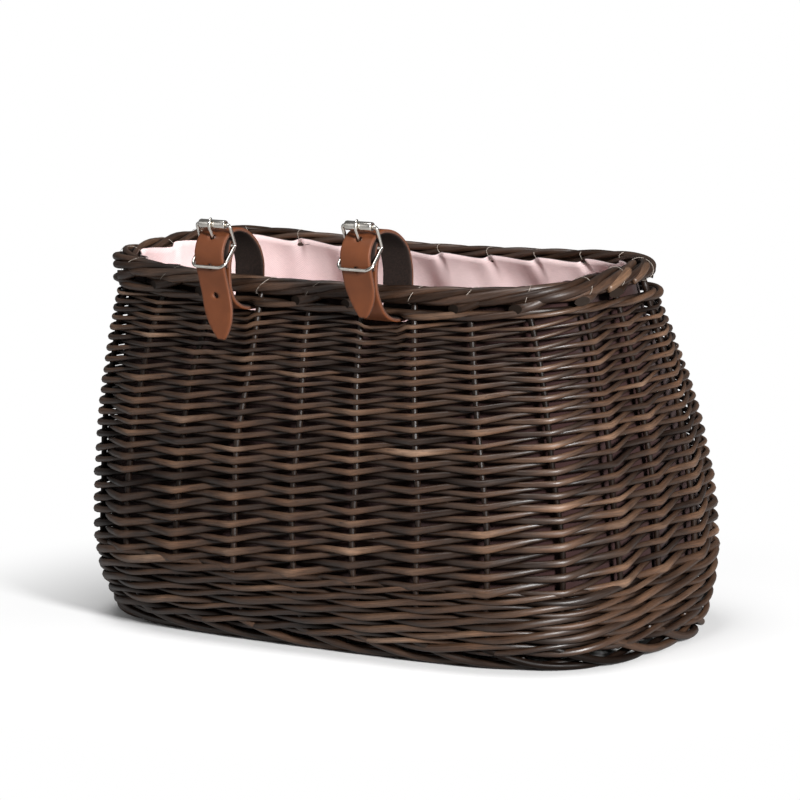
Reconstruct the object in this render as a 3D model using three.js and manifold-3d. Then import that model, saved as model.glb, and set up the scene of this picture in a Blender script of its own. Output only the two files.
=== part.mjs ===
// Lined wicker bicycle basket with two buckled leather handlebar straps.
// Millimetres, +Z up. The strap side faces -Y, the basket stands on its foot border at z = 0.
import * as THREE from 'three';
import { mergeVertices } from 'three/addons/utils/BufferGeometryUtils.js';
import Module from 'manifold-3d';

const wasm = await Module();
wasm.setup();

// Running gap that neighbouring pieces keep
const CLEARANCE = 0.3;

// Outline of the basket, measured on the middle of the woven wall
const HEIGHT = 250;
const BELLY_Z = 53;
const BASE_WIDTH = 397;
const BASE_DEPTH = 205.6;
const BELLY_WIDTH = 403.8;
const BELLY_DEPTH = 263.2;
const MOUTH_WIDTH = 359.2;
const MOUTH_NEAR = 65.9;
const MOUTH_FAR = 93.25;
const BASE_SET_BACK = 35.6;
const BELLY_SET_BACK = 34.3;
const SHOULDER_POWER = 1.86;
const BASE_SQUARENESS = 3.73;
const MOUTH_SQUARENESS = 4.45;
const MOUTH_RISE = 6.5;

// Willow
const STAKES = 24;
const STAKE_RADIUS = 2.25;
const WALL_OUT = 4.6;
const WALL_IN = 4.4;
const WEAVE_RELIEF = 1.4;
const WEAVE_DIP = 2.2;
const WEAVE_RISE = 1;
const WALE_RELIEF = 1.4;
const UPSETT_HEIGHT = 45;
const WALE_ROWS = 5;
const LOWER_WEAVE_SHARE = 0.49;
const LOWER_WEAVE_ROWS = 10;
const UPPER_WEAVE_ROWS = 12;
const TOP_WALE_HEIGHT = 19.4;
const TOP_WALE_ROWS = 2;

// Rolled top border
const BORDER_STRANDS = 3;
const BORDER_ROD_RADIUS = 4;
const BORDER_TURNS = 6;
const BORDER_STEPS_PER_TURN = 8;
const BORDER_RADIUS = 9;
const BORDER_DROP = 9;

// Foot border
const FOOT_RADIUS = 5.6;
const FOOT_LOBE = 1.2;
const FOOT_FLAT = 0.5;

// Woven base
const BASE_THICKNESS = 8;
const BASE_STICKS = 5;
const BASE_STICK_RADIUS = 3;
const BASE_STICK_PITCH = 62;
const BASE_STICK_SINK = 0.9;

// Cotton lining
const LINING_THICKNESS = 1.6;
const LINING_GAP = 0.5;
const LINING_EDGE_BELOW_TOP = 11.5;
const LINING_GATHER = 1.5;
const LINING_TURN_BELOW = 2;
const LINING_TURN_HEIGHT = 14;
const LINING_SLOT_BELOW = 4;
const LINING_SLOT_SIDE = 2.5;

// Leather straps. Their middles are that many stakes from the middle of the strap side.
const STRAP_WIDTH = 25;
const STRAP_THICKNESS = 2.8;
const STRAPS_AT_STAKES = 1.5;
const STRAP_SLACK = 2.5;
const HOLE_PITCH = 20;
const HOLE_RADIUS = 2.3;
const TIP_LENGTH = 15;
const TIP_WIDTH = 7;
const FLAP_LENGTH = 14.5;
const RIVET_BELOW_BAR = 10.5;
const TAIL_LEAN = 5;
const LEFT_TAIL = 49;
const RIGHT_TAIL = 32;

// Centre bar of the buckle against the middle of the border, and how one hole tighter moves it
const BUCKLE_OUT = 26.5;
const BUCKLE_UP = 33.5;
const TIGHTER_IN = 3.5;
const TIGHTER_DOWN = 6;

// Roller buckles: the roller and the lower bar against the centre bar, and the wire
const ROLLER_OUT = 5.6;
const ROLLER_UP = 14;
const LOWER_BAR_OUT = 13;
const LOWER_BAR_DOWN = 13.5;
const WIRE_RADIUS = 1.4;
const ROLLER_RADIUS = 4;
const ROLLER_LENGTH = 25;
const ROLLER_CHAMFER = 0.5;
const PRONG_RADIUS = 1.1;
const PRONG_EYE_TURN = 4.4;
const PRONG_HOOK_TURN = 1.6;
const PRONG_TIP_TAPER = 0.6;
const BUCKLE_SIDE_GAP = 1;
const BUCKLE_CORNER = 3;
const RIVET_HEAD_RADIUS = 3;
const RIVET_SHANK_RADIUS = 1.5;
const RIVET_HEAD_HEIGHT = 0.9;

const willow = new THREE.MeshStandardMaterial({ color: 0x3f2d26, roughness: 0.62, metalness: 0 });
const willowLight = new THREE.MeshStandardMaterial({ color: 0x54392e, roughness: 0.6, metalness: 0 });
const cotton = new THREE.MeshStandardMaterial({ color: 0xdcbcc0, roughness: 0.95, metalness: 0 });
const leather = new THREE.MeshStandardMaterial({ color: 0x6e3c26, roughness: 0.5, metalness: 0 });
const nickel = new THREE.MeshStandardMaterial({ color: 0xd8d4cc, roughness: 0.18, metalness: 1 });

const basket = new THREE.Group();

function addPiece(name, geometry, material) {
  const mesh = new THREE.Mesh(geometry, material);
  mesh.name = name;
  basket.add(mesh);
  return mesh;
}

// Closed meshes to solids and back

function toSolid(geometry) {
  const bare = geometry.clone();
  bare.deleteAttribute('normal');
  bare.deleteAttribute('uv');
  const merged = mergeVertices(bare, 1e-4);
  return new wasm.Manifold(new wasm.Mesh({
    numProp: 3,
    vertProperties: new Float32Array(merged.attributes.position.array),
    triVerts: new Uint32Array(merged.index.array),
  }));
}

function toGeometry(solid) {
  const { vertProperties, triVerts } = solid.getMesh();
  const geometry = new THREE.BufferGeometry();
  geometry.setAttribute('position', new THREE.BufferAttribute(new Float32Array(vertProperties), 3));
  geometry.setIndex(new THREE.BufferAttribute(new Uint32Array(triVerts), 1));
  geometry.computeVertexNormals();
  return geometry;
}

function geometryFrom(points, triangles) {
  const geometry = new THREE.BufferGeometry();
  geometry.setFromPoints(points);
  geometry.setIndex(triangles);
  geometry.computeVertexNormals();
  return geometry;
}

// Horizontal sections of the wall are superellipses whose half widths follow one profile

function profile(z, atBase, atBelly, atTop) {
  if (z <= BELLY_Z) {
    return atBelly + (atBase - atBelly) * ((BELLY_Z - z) / BELLY_Z) ** 2;
  }
  return atBelly + (atTop - atBelly) * ((z - BELLY_Z) / (HEIGHT - BELLY_Z)) ** SHOULDER_POWER;
}

function section(z) {
  const near = profile(z, BASE_DEPTH / 2, BELLY_DEPTH / 2, MOUTH_NEAR);
  return {
    halfWidth: profile(z, BASE_WIDTH / 2, BELLY_WIDTH / 2, MOUTH_WIDTH / 2),
    near,
    far: near + (MOUTH_FAR - MOUTH_NEAR) * (z / HEIGHT) ** 3,
    centre: profile(z, BASE_SET_BACK, BELLY_SET_BACK, 0),
    power: BASE_SQUARENESS + (MOUTH_SQUARENESS - BASE_SQUARENESS) * z / HEIGHT,
  };
}

function sectionPoint(angle, z) {
  const s = section(z);
  const c = Math.cos(angle);
  const d = Math.sin(angle);
  const depth = d < 0 ? s.near : s.far;
  return new THREE.Vector2(
    s.halfWidth * Math.sign(c) * Math.abs(c) ** (2 / s.power),
    s.centre + depth * Math.sign(d) * Math.abs(d) ** (2 / s.power),
  );
}

// Stakes are evenly spaced round the wall at every height: stake 0 is at the middle of the
// strap side, and the numbers grow towards +X

const ANGLE_SAMPLES = 1440;
const ANGLE_STEP = 0.004;

// Lengths round the section at each height that has been asked for, from stake 0 on
const arcTables = new Map();

function arcTable(z) {
  if (arcTables.has(z)) return arcTables.get(z);
  const lengths = [0];
  let last = sectionPoint(-Math.PI / 2, z);
  for (let i = 1; i <= ANGLE_SAMPLES; i++) {
    const next = sectionPoint(-Math.PI / 2 + 2 * Math.PI * i / ANGLE_SAMPLES, z);
    lengths.push(lengths[i - 1] + next.distanceTo(last));
    last = next;
  }
  arcTables.set(z, lengths);
  return lengths;
}

function angleAt(stake, z) {
  const lengths = arcTable(z);
  const turn = ((stake / STAKES) % 1 + 1) % 1;
  const target = turn * lengths[ANGLE_SAMPLES];
  let low = 0;
  let high = ANGLE_SAMPLES;
  while (high - low > 1) {
    const middle = (low + high) >> 1;
    if (lengths[middle] <= target) low = middle;
    else high = middle;
  }
  const part = (target - lengths[low]) / (lengths[high] - lengths[low]);
  return -Math.PI / 2 + 2 * Math.PI * (low + part) / ANGLE_SAMPLES;
}

const MOUTH_Z = HEIGHT - BORDER_DROP;
const RISE_START = MOUTH_Z / 2;

function wallPoint(stake, z, out) {
  const angle = angleAt(stake, z);
  const step = ANGLE_STEP;
  const here = sectionPoint(angle, z);
  const along = sectionPoint(angle + step, z).sub(sectionPoint(angle - step, z)).normalize();
  const reach = here.x / (MOUTH_WIDTH / 2);
  const share = Math.max(0, (z - RISE_START) / (MOUTH_Z - RISE_START)) ** 2;
  return new THREE.Vector3(
    here.x + along.y * out,
    here.y - along.x * out,
    z + MOUTH_RISE * reach * reach * share,
  );
}

// A woven band: an outer face with relief, an inner face with a groove for each stake.
// The inner face has the groove's four corners and one point between two stakes.

const GROOVE_POINTS = 5;

function spread(from, to, count) {
  return Array.from({ length: count + 1 }, (_, i) => from + (to - from) * i / count);
}

function pushGrid(rings, points, triangles, facingOut) {
  const start = points.length;
  const count = rings[0].length;
  rings.forEach((ring) => points.push(...ring));
  for (let row = 0; row < rings.length - 1; row++) {
    for (let i = 0; i < count; i++) {
      const a = start + row * count + i;
      const b = start + row * count + (i + 1) % count;
      const c = a + count;
      const d = b + count;
      if (facingOut) triangles.push(a, b, d, a, d, c);
      else triangles.push(a, d, b, a, c, d);
    }
  }
  return { first: start, last: start + (rings.length - 1) * count, count };
}

// Closes a ring with triangles laid across it from one end to the other
function pushCap(triangles, start, count, facingUp) {
  let low = 0;
  let high = count - 1;
  let onLow = true;
  while (high - low > 1) {
    const next = onLow ? low + 1 : high - 1;
    if (facingUp) triangles.push(start + low, start + Math.min(next, high), start + Math.max(next, high));
    else triangles.push(start + low, start + Math.max(next, high), start + Math.min(next, high));
    if (onLow) low = next;
    else high = next;
    onLow = !onLow;
  }
}

// Closes a band between its outer ring and its grooved inner ring, stake by stake
function pushBandEdge(triangles, outerStart, innerStart, facingUp) {
  for (let stake = 0; stake < STAKES; stake++) {
    const outer = (i) => outerStart + (2 * stake + i + 2 * STAKES) % (2 * STAKES);
    const inner = (i) => innerStart + (GROOVE_POINTS * stake + i + GROOVE_POINTS * STAKES) % (GROOVE_POINTS * STAKES);
    const faces = [
      [outer(-1), outer(0), inner(1)],
      [outer(-1), inner(1), inner(0)],
      [outer(-1), inner(0), inner(-1)],
      [outer(0), inner(2), inner(1)],
      [outer(0), outer(1), inner(2)],
      [outer(1), inner(3), inner(2)],
      [outer(1), inner(4), inner(3)],
    ];
    for (const [a, b, c] of faces) {
      if (facingUp) triangles.push(a, b, c);
      else triangles.push(a, c, b);
    }
  }
}

// The rows of the outer face climb by a share of a row from one stake to the next
function wovenBand(levels, outerRows, relief, rise) {
  const points = [];
  const triangles = [];
  const rowHeight = (levels.at(-1) - levels[0]) / outerRows;
  const outerRings = spread(levels[0], levels.at(-1), outerRows).map((z, row) => {
    const climb = row > 0 && row < outerRows ? rise * rowHeight : 0;
    return spread(0, STAKES, STAKES * 2).slice(0, -1).map((stake) => (
      wallPoint(stake, z + climb * (stake % 1), WALL_OUT + relief(stake, row))
    ));
  });
  const grooveHalf = STAKE_RADIUS + CLEARANCE;
  const innerRings = levels.map((z) => {
    const ring = [];
    for (let stake = 0; stake < STAKES; stake++) {
      const middle = wallPoint(stake, z, 0);
      const outward = wallPoint(stake, z, 1).sub(middle).setZ(0).normalize();
      const along = new THREE.Vector3(-outward.y, outward.x, 0);
      const climb = wallPoint(stake, z + 1, 0).sub(middle);
      const depth = grooveHalf * climb.length() / climb.z;
      for (const [side, out] of [[-1, -WALL_IN], [-1, depth], [1, depth], [1, -WALL_IN]]) {
        ring.push(middle.clone().addScaledVector(along, side * grooveHalf).addScaledVector(outward, out));
      }
      ring.push(wallPoint(stake + 0.5, z, -WALL_IN));
    }
    return ring;
  });
  const outer = pushGrid(outerRings, points, triangles, true);
  const inner = pushGrid(innerRings, points, triangles, false);
  pushBandEdge(triangles, outer.first, inner.first, false);
  pushBandEdge(triangles, outer.last, inner.last, true);
  return geometryFrom(points, triangles);
}

// A rod along a row of points; a closed one has no ends

function rod(path, radius, sides, closed = false) {
  const count = path.length;
  const radiusAt = typeof radius === 'number' ? () => radius : radius;
  const direction = (i) => {
    const before = closed ? path[(i + count - 1) % count] : path[Math.max(0, i - 1)];
    const after = closed ? path[(i + 1) % count] : path[Math.min(count - 1, i + 1)];
    return after.clone().sub(before).normalize();
  };
  const rings = [];
  let side = new THREE.Vector3(1, 0, 0);
  if (Math.abs(direction(0).x) > 0.8) side.set(0, 0, 1);
  for (let i = 0; i < count; i++) {
    const forward = direction(i);
    side = side.addScaledVector(forward, -side.dot(forward)).normalize();
    const up = forward.clone().cross(side);
    const r = radiusAt(i / (count - 1));
    rings.push(Array.from({ length: sides }, (_, k) => {
      const turn = 2 * Math.PI * k / sides;
      return path[i].clone().addScaledVector(side, r * Math.cos(turn)).addScaledVector(up, r * Math.sin(turn));
    }));
    side = side.clone();
  }
  const points = rings.flat();
  const triangles = [];
  const spans = closed ? count : count - 1;
  const shift = closed ? closingShift(rings[0], rings[count - 1]) : 0;
  for (let i = 0; i < spans; i++) {
    const wraps = i === count - 1;
    for (let k = 0; k < sides; k++) {
      const a = i * sides + k;
      const b = i * sides + (k + 1) % sides;
      const next = wraps ? 0 : (i + 1) * sides;
      const c = next + (k + (wraps ? shift : 0)) % sides;
      const d = next + (k + 1 + (wraps ? shift : 0)) % sides;
      triangles.push(a, b, d, a, d, c);
    }
  }
  if (!closed) {
    for (let k = 1; k < sides - 1; k++) {
      triangles.push(0, k + 1, k);
      const end = (count - 1) * sides;
      triangles.push(end, end + k, end + k + 1);
    }
  }
  return geometryFrom(points, triangles);
}

// How many corners the last ring of a closed rod is turned against the first
function closingShift(first, last) {
  const gaps = first.map((_, shift) => (
    last.reduce((sum, point, k) => sum + point.distanceTo(first[(k + shift) % first.length]), 0)
  ));
  return gaps.indexOf(Math.min(...gaps));
}

// Base: a woven panel on cross sticks

const FOOT_CENTRE_Z = FOOT_RADIUS - FOOT_LOBE - FOOT_FLAT;
const WALL_BOTTOM = FOOT_CENTRE_Z + FOOT_RADIUS + FOOT_LOBE + CLEARANCE;
const BASE_BOTTOM = WALL_BOTTOM + CLEARANCE;
const BASE_TOP = BASE_BOTTOM + BASE_THICKNESS;

function plate(bottom, top, outAt) {
  const points = [];
  const triangles = [];
  const rings = [bottom, top].map((z) => (
    spread(0, STAKES, STAKES * 2).slice(0, -1).map((stake) => wallPoint(stake, z, outAt))
  ));
  const grid = pushGrid(rings, points, triangles, true);
  pushCap(triangles, grid.first, grid.count, false);
  pushCap(triangles, grid.last, grid.count, true);
  return geometryFrom(points, triangles);
}

function baseStick(x, radius, overrun) {
  const z = BASE_BOTTOM + BASE_STICK_RADIUS * BASE_STICK_SINK;
  const turn = Math.acos(Math.min(1, (Math.abs(x) / section(z).halfWidth) ** (section(z).power / 2)));
  const inset = WALL_IN + 6 * CLEARANCE - overrun;
  const near = sectionPoint(-turn, WALL_BOTTOM).y + inset;
  const far = sectionPoint(turn, WALL_BOTTOM).y - inset;
  return rod([new THREE.Vector3(x, near, z), new THREE.Vector3(x, far, z)], radius, 8);
}

let basePanel = toSolid(plate(BASE_BOTTOM, BASE_TOP, -WALL_IN - CLEARANCE));
for (let i = 0; i < BASE_STICKS; i++) {
  const x = (i - (BASE_STICKS - 1) / 2) * BASE_STICK_PITCH;
  addPiece(`base_stick_${i + 1}`, baseStick(x, BASE_STICK_RADIUS, 0), willowLight);
  const groove = baseStick(x, BASE_STICK_RADIUS + CLEARANCE, WALL_IN + 4 * CLEARANCE);
  basePanel = basePanel.subtract(toSolid(groove));
}
addPiece('base_panel', toGeometry(basePanel), willow);

// Foot border: two rods laid round each other, pressed flat where the basket stands

function footBorder() {
  const sides = 8;
  const stepsPerStake = 3;
  const rings = [];
  for (let i = 0; i < STAKES * stepsPerStake; i++) {
    const stake = i / stepsPerStake;
    const middle = wallPoint(stake, FOOT_CENTRE_Z, 0);
    const outward = wallPoint(stake, FOOT_CENTRE_Z, 1).sub(middle).normalize();
    const lay = Math.PI * (stake + 0.5);
    rings.push(Array.from({ length: sides }, (_, k) => {
      const turn = 2 * Math.PI * k / sides;
      const r = FOOT_RADIUS + FOOT_LOBE * Math.cos(2 * turn - 2 * lay);
      const point = middle.clone().addScaledVector(outward, r * Math.cos(turn));
      return point.setZ(Math.max(0, middle.z + r * Math.sin(turn)));
    }));
  }
  const points = rings.flat();
  const triangles = [];
  rings.forEach((_, i) => {
    for (let k = 0; k < sides; k++) {
      const a = i * sides + k;
      const b = i * sides + (k + 1) % sides;
      const c = ((i + 1) % rings.length) * sides + k;
      const d = ((i + 1) % rings.length) * sides + (k + 1) % sides;
      triangles.push(a, c, d, a, d, b);
    }
  });
  return geometryFrom(points, triangles);
}
addPiece('foot_border', footBorder(), willowLight);

// Walls: upsett wale, two sets of randing rods and the top wale

const WALE_TOP = WALL_BOTTOM + UPSETT_HEIGHT;
const TOP_WALE_TOP = MOUTH_Z - BORDER_RADIUS - CLEARANCE;
const UPPER_WEAVE_TOP = TOP_WALE_TOP - TOP_WALE_HEIGHT;
const LOWER_WEAVE_TOP = WALE_TOP + (UPPER_WEAVE_TOP - WALE_TOP) * LOWER_WEAVE_SHARE;
const STRAP_RUN = BORDER_RADIUS + STRAP_SLACK;
const SLOT_DEPTH = STRAP_RUN * 1.6 + STRAP_THICKNESS / 2;

const waleRelief = (stake, row) => WALE_RELIEF * Math.cos(2 * Math.PI * (stake - row) / 3);

// French randing: every stake has rods in front of it at the same heights, and the wall is
// thinnest between two stakes, where the rods cross
const randingRelief = (stake, row) => (
  stake % 1 === 0 ? -WEAVE_RELIEF * Math.cos(Math.PI * row) : -WEAVE_DIP
);

// Heights at which the inner faces and the stakes bend
const waleLevels = [WALL_BOTTOM, BASE_TOP, WALE_TOP];
const lowerLevels = spread(WALE_TOP + CLEARANCE, LOWER_WEAVE_TOP, 2);
const upperLevels = spread(LOWER_WEAVE_TOP + CLEARANCE, UPPER_WEAVE_TOP, 2);
const topLevels = [UPPER_WEAVE_TOP + CLEARANCE, TOP_WALE_TOP];

// The top wale is notched where the straps pass under the border
function strapNotch(side) {
  const anchor = wallPoint(side * STRAPS_AT_STAKES, MOUTH_Z, 0);
  const width = STRAP_WIDTH + 4 * CLEARANCE;
  const notch = new THREE.BoxGeometry(width, 6 * WALL_OUT, SLOT_DEPTH);
  return toSolid(notch.translate(anchor.x, anchor.y, anchor.z - SLOT_DEPTH / 2));
}

function topWale() {
  const band = toSolid(wovenBand(topLevels, TOP_WALE_ROWS, waleRelief, 0));
  return toGeometry(band.subtract(strapNotch(-1)).subtract(strapNotch(1)));
}

addPiece('upsett_wale', wovenBand(waleLevels, WALE_ROWS, waleRelief, 0), willow);
addPiece('side_weave_lower', wovenBand(lowerLevels, LOWER_WEAVE_ROWS, randingRelief, WEAVE_RISE), willow);
addPiece('side_weave_upper', wovenBand(upperLevels, UPPER_WEAVE_ROWS, randingRelief, WEAVE_RISE), willow);
addPiece('top_wale', topWale(), willow);

const stakeLevels = [
  WALL_BOTTOM + STAKE_RADIUS,
  ...waleLevels.slice(1),
  ...lowerLevels.slice(1),
  ...upperLevels.slice(1),
  TOP_WALE_TOP,
];

for (let stake = 0; stake < STAKES; stake++) {
  const path = stakeLevels.map((z) => wallPoint(stake, z, 0));
  addPiece(`stake_${String(stake + 1).padStart(2, '0')}`, rod(path, STAKE_RADIUS, 4), willowLight);
}

// Top border: rods rolled round each other along the mouth

const strandLay = BORDER_RADIUS - BORDER_ROD_RADIUS;

function borderStrand(number) {
  const steps = BORDER_TURNS * BORDER_STEPS_PER_TURN;
  const path = [];
  for (let i = 0; i < steps; i++) {
    const stake = STAKES * i / steps;
    const middle = wallPoint(stake, MOUTH_Z, 0);
    const outward = wallPoint(stake, MOUTH_Z, 1).sub(middle).setZ(0).normalize();
    const turn = 2 * Math.PI * (BORDER_TURNS * i / steps + number / BORDER_STRANDS);
    path.push(middle.addScaledVector(outward, strandLay * Math.cos(turn))
      .add(new THREE.Vector3(0, 0, strandLay * Math.sin(turn))));
  }
  return rod(path, BORDER_ROD_RADIUS, 5, true);
}
for (let i = 0; i < BORDER_STRANDS; i++) {
  addPiece(`border_rod_${i + 1}`, borderStrand(i), willowLight);
}

// Lining: a cotton bag that hangs just inside the wall and is sewn round the border

const LINING_BOTTOM = BASE_TOP + CLEARANCE;
const LINING_LOW_OUT = -WALL_IN - LINING_GAP;
const LINING_HIGH_OUT = -BORDER_RADIUS - 3 * LINING_GAP;
const LINING_TURN_Z = MOUTH_Z - BORDER_RADIUS - LINING_TURN_BELOW;
const LINING_EDGE = HEIGHT - LINING_EDGE_BELOW_TOP;
const LINING_SLOT_Z = MOUTH_Z - SLOT_DEPTH - LINING_SLOT_BELOW;

// Columns of the lining: two to a stake, with a steep-sided cut-out behind each strap
function liningColumns() {
  const stakeWidth = wallPoint(STRAPS_AT_STAKES, MOUTH_Z, 0).x / STRAPS_AT_STAKES;
  const cut = (STRAP_WIDTH / 2 + LINING_SLOT_SIDE) / stakeWidth;
  const ramp = cut + LINING_THICKNESS / stakeWidth;
  const straps = [STRAPS_AT_STAKES, STAKES - STRAPS_AT_STAKES];
  const columns = spread(0, STAKES, STAKES * 2)
    .slice(0, -1)
    .filter((stake) => straps.every((middle) => Math.abs(stake - middle) > ramp))
    .map((stake) => ({ stake, cutOut: false }));
  for (const middle of straps) {
    for (const offset of [-ramp, -cut, 0, cut, ramp]) {
      columns.push({ stake: middle + offset, cutOut: Math.abs(offset) < ramp });
    }
  }
  return columns.sort((p, q) => p.stake - q.stake);
}

function lining() {
  const points = [];
  const triangles = [];
  const columns = liningColumns();
  const edge = ({ stake, cutOut }) => (
    cutOut ? LINING_SLOT_Z : LINING_EDGE + LINING_GATHER * Math.cos(2 * Math.PI * stake)
  );
  const ringAt = (level, inset, lift) => columns.map((column) => {
    const top = edge(column);
    const turnedIn = top > LINING_TURN_Z;
    const heights = [
      LINING_BOTTOM + lift,
      WALE_TOP,
      LOWER_WEAVE_TOP,
      Math.min(LINING_TURN_Z - LINING_TURN_HEIGHT, top - 1),
      Math.min(LINING_TURN_Z, top - 0.5),
      top,
    ];
    const out = level > 3 && turnedIn ? LINING_HIGH_OUT : LINING_LOW_OUT;
    return wallPoint(column.stake, heights[level], out - inset);
  });
  const levels = [0, 1, 2, 3, 4, 5];
  const outer = pushGrid(levels.map((level) => ringAt(level, 0, 0)), points, triangles, true);
  const inner = pushGrid(
    levels.map((level) => ringAt(level, LINING_THICKNESS, LINING_THICKNESS)),
    points,
    triangles,
    false,
  );
  pushCap(triangles, outer.first, outer.count, false);
  pushCap(triangles, inner.first, inner.count, true);
  for (let i = 0; i < outer.count; i++) {
    const next = (i + 1) % outer.count;
    triangles.push(outer.last + i, outer.last + next, inner.last + next);
    triangles.push(outer.last + i, inner.last + next, inner.last + i);
  }
  return geometryFrom(points, triangles);
}
addPiece('lining', lining(), cotton);

// Straps. Side view in (y, z) from the middle of the border where the strap goes round it.

const half = STRAP_THICKNESS / 2;
const FOLD_RADIUS = WIRE_RADIUS + CLEARANCE + half;

// Buckle bars against the border, for the loop that is one hole tighter or looser
function buckleBars(tighter) {
  const centre = new THREE.Vector2(TIGHTER_IN * tighter - BUCKLE_OUT, BUCKLE_UP - TIGHTER_DOWN * tighter);
  return {
    centre,
    top: centre.clone().add(new THREE.Vector2(-ROLLER_OUT, ROLLER_UP)),
    bottom: centre.clone().add(new THREE.Vector2(-LOWER_BAR_OUT, -LOWER_BAR_DOWN)),
  };
}

// Middle line of the strap, from the end of the flap to the tip. Its points are shares of the
// fold round the centre bar, of the run round the border and of the way up to the roller.
function strapCurve(tighter, tailLength) {
  const { centre, bottom } = buckleBars(tighter);
  const byFold = (out, up) => [centre.x + FOLD_RADIUS * out, centre.y + FOLD_RADIUS * up];
  const byBorder = (out, up) => [STRAP_RUN * out, STRAP_RUN * up];
  const byRoller = (out, up) => [centre.x + ROLLER_UP * out, centre.y + ROLLER_UP * up];
  const behindLowerBar = bottom.x + WIRE_RADIUS + CLEARANCE + half;
  const flap = [
    [centre.x - FOLD_RADIUS * 0.87 - STRAP_THICKNESS - CLEARANCE, centre.y - FLAP_LENGTH],
    [centre.x - FOLD_RADIUS * 0.55 - STRAP_THICKNESS - CLEARANCE, centre.y - FLAP_LENGTH / 2],
  ];
  const fold = [180, 135, 90, 45, 0].map(THREE.MathUtils.degToRad)
    .map((turn) => byFold(Math.cos(turn), Math.sin(turn)));
  const down = [byFold(-0.45, -2.7), byFold(-0.87, -5.2), byFold(-0.58, -9.4)];
  const roundBorder = [
    byBorder(-1.78, -0.83),
    byBorder(-1.04, -1.27),
    byBorder(-0.17, -1.41),
    byBorder(0.72, -1.3),
    byBorder(1, -0.78),
    byBorder(1, 0.35),
    [STRAP_RUN, centre.y * 0.46],
  ];
  const over = [
    [STRAP_RUN * 0.6, centre.y - ROLLER_UP * 0.27],
    [centre.x * 0.12, centre.y + ROLLER_UP * 0.37],
    [centre.x * 0.51, centre.y + ROLLER_UP * 0.64],
    byRoller(0.26, 0.68),
    byRoller(-0.23, 0.5),
    byRoller(-0.61, 0.09),
    byRoller(-0.76, -0.39),
  ];
  const tail = [
    [behindLowerBar, bottom.y],
    [behindLowerBar + TAIL_LEAN * 0.5, bottom.y - HOLE_PITCH * 0.5],
    [behindLowerBar + TAIL_LEAN * 0.9, bottom.y - HOLE_PITCH],
    [behindLowerBar + TAIL_LEAN, bottom.y - tailLength],
  ];
  const points = [...flap, ...fold, ...down, ...roundBorder, ...over, ...tail];
  return new THREE.CatmullRomCurve3(points.map(([y, z]) => new THREE.Vector3(0, y, z)), false, 'centripetal');
}

function acrossX(shape, width) {
  const geometry = new THREE.ExtrudeGeometry(shape, { depth: width, bevelEnabled: false, curveSegments: 8 });
  geometry.applyMatrix4(new THREE.Matrix4().makeBasis(
    new THREE.Vector3(0, 1, 0),
    new THREE.Vector3(0, 0, 1),
    new THREE.Vector3(1, 0, 0),
  ));
  return geometry.translate(-width / 2, 0, 0);
}

function strapSolid(tighter, tailLength) {
  const curve = strapCurve(tighter, tailLength);
  const steps = 2 * (curve.points.length - 1);
  const outer = [];
  const inner = [];
  for (let i = 0; i <= steps; i++) {
    const p = curve.getPoint(i / steps);
    const t = curve.getTangent(i / steps);
    outer.push(new THREE.Vector2(p.y - t.z * half, p.z + t.y * half));
    inner.push(new THREE.Vector2(p.y + t.z * half, p.z - t.y * half));
  }
  let strap = toSolid(acrossX(new THREE.Shape(outer.concat(inner.reverse())), STRAP_WIDTH));

  const bars = buckleBars(tighter);
  const slotHalf = PRONG_RADIUS + 2 * CLEARANCE;
  const slot = new THREE.BoxGeometry(2 * slotHalf, 4 * FOLD_RADIUS, 4 * FOLD_RADIUS);
  slot.translate(0, bars.centre.x, bars.centre.y + 0.4 * FOLD_RADIUS);
  strap = strap.subtract(toSolid(slot).subtract(toSolid(tailGuard(tighter))));
  strap = strap.subtract(toSolid(rivetAlongY(tighter, CLEARANCE, -CLEARANCE)));

  const length = curve.getLength();
  const prongHole = holeUnderProng(curve, tighter);
  for (const number of [-2, -1, 0, 1, 2]) {
    const at = prongHole + number * HOLE_PITCH / length;
    if (at * length > length - TIP_LENGTH - HOLE_RADIUS) continue;
    const p = curve.getPointAt(at);
    const t = curve.getTangentAt(at);
    const punch = new THREE.CylinderGeometry(HOLE_RADIUS, HOLE_RADIUS, 3 * STRAP_THICKNESS, 6);
    punch.applyQuaternion(new THREE.Quaternion().setFromUnitVectors(
      new THREE.Vector3(0, 1, 0),
      new THREE.Vector3(0, -t.z, t.y),
    ));
    punch.translate(0, p.y, p.z);
    strap = strap.subtract(toSolid(punch));
  }
  return strap.subtract(toSolid(tipCutter(curve, 1))).subtract(toSolid(tipCutter(curve, -1)));
}

// The space round the tail that the prong's slot in the fold must not cut
function tailGuard(tighter) {
  const { centre } = buckleBars(tighter);
  const corners = [[-1.6, -4], [-1.6, 0.8], [0.3, 2], [4, 2], [4, 6.5], [-6.5, 6.5], [-6.5, -4]];
  const guard = new THREE.Shape(corners.map(([out, up]) => (
    new THREE.Vector2(centre.x + FOLD_RADIUS * out, centre.y + FOLD_RADIUS * up)
  )));
  return acrossX(guard, STRAP_WIDTH);
}

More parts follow.
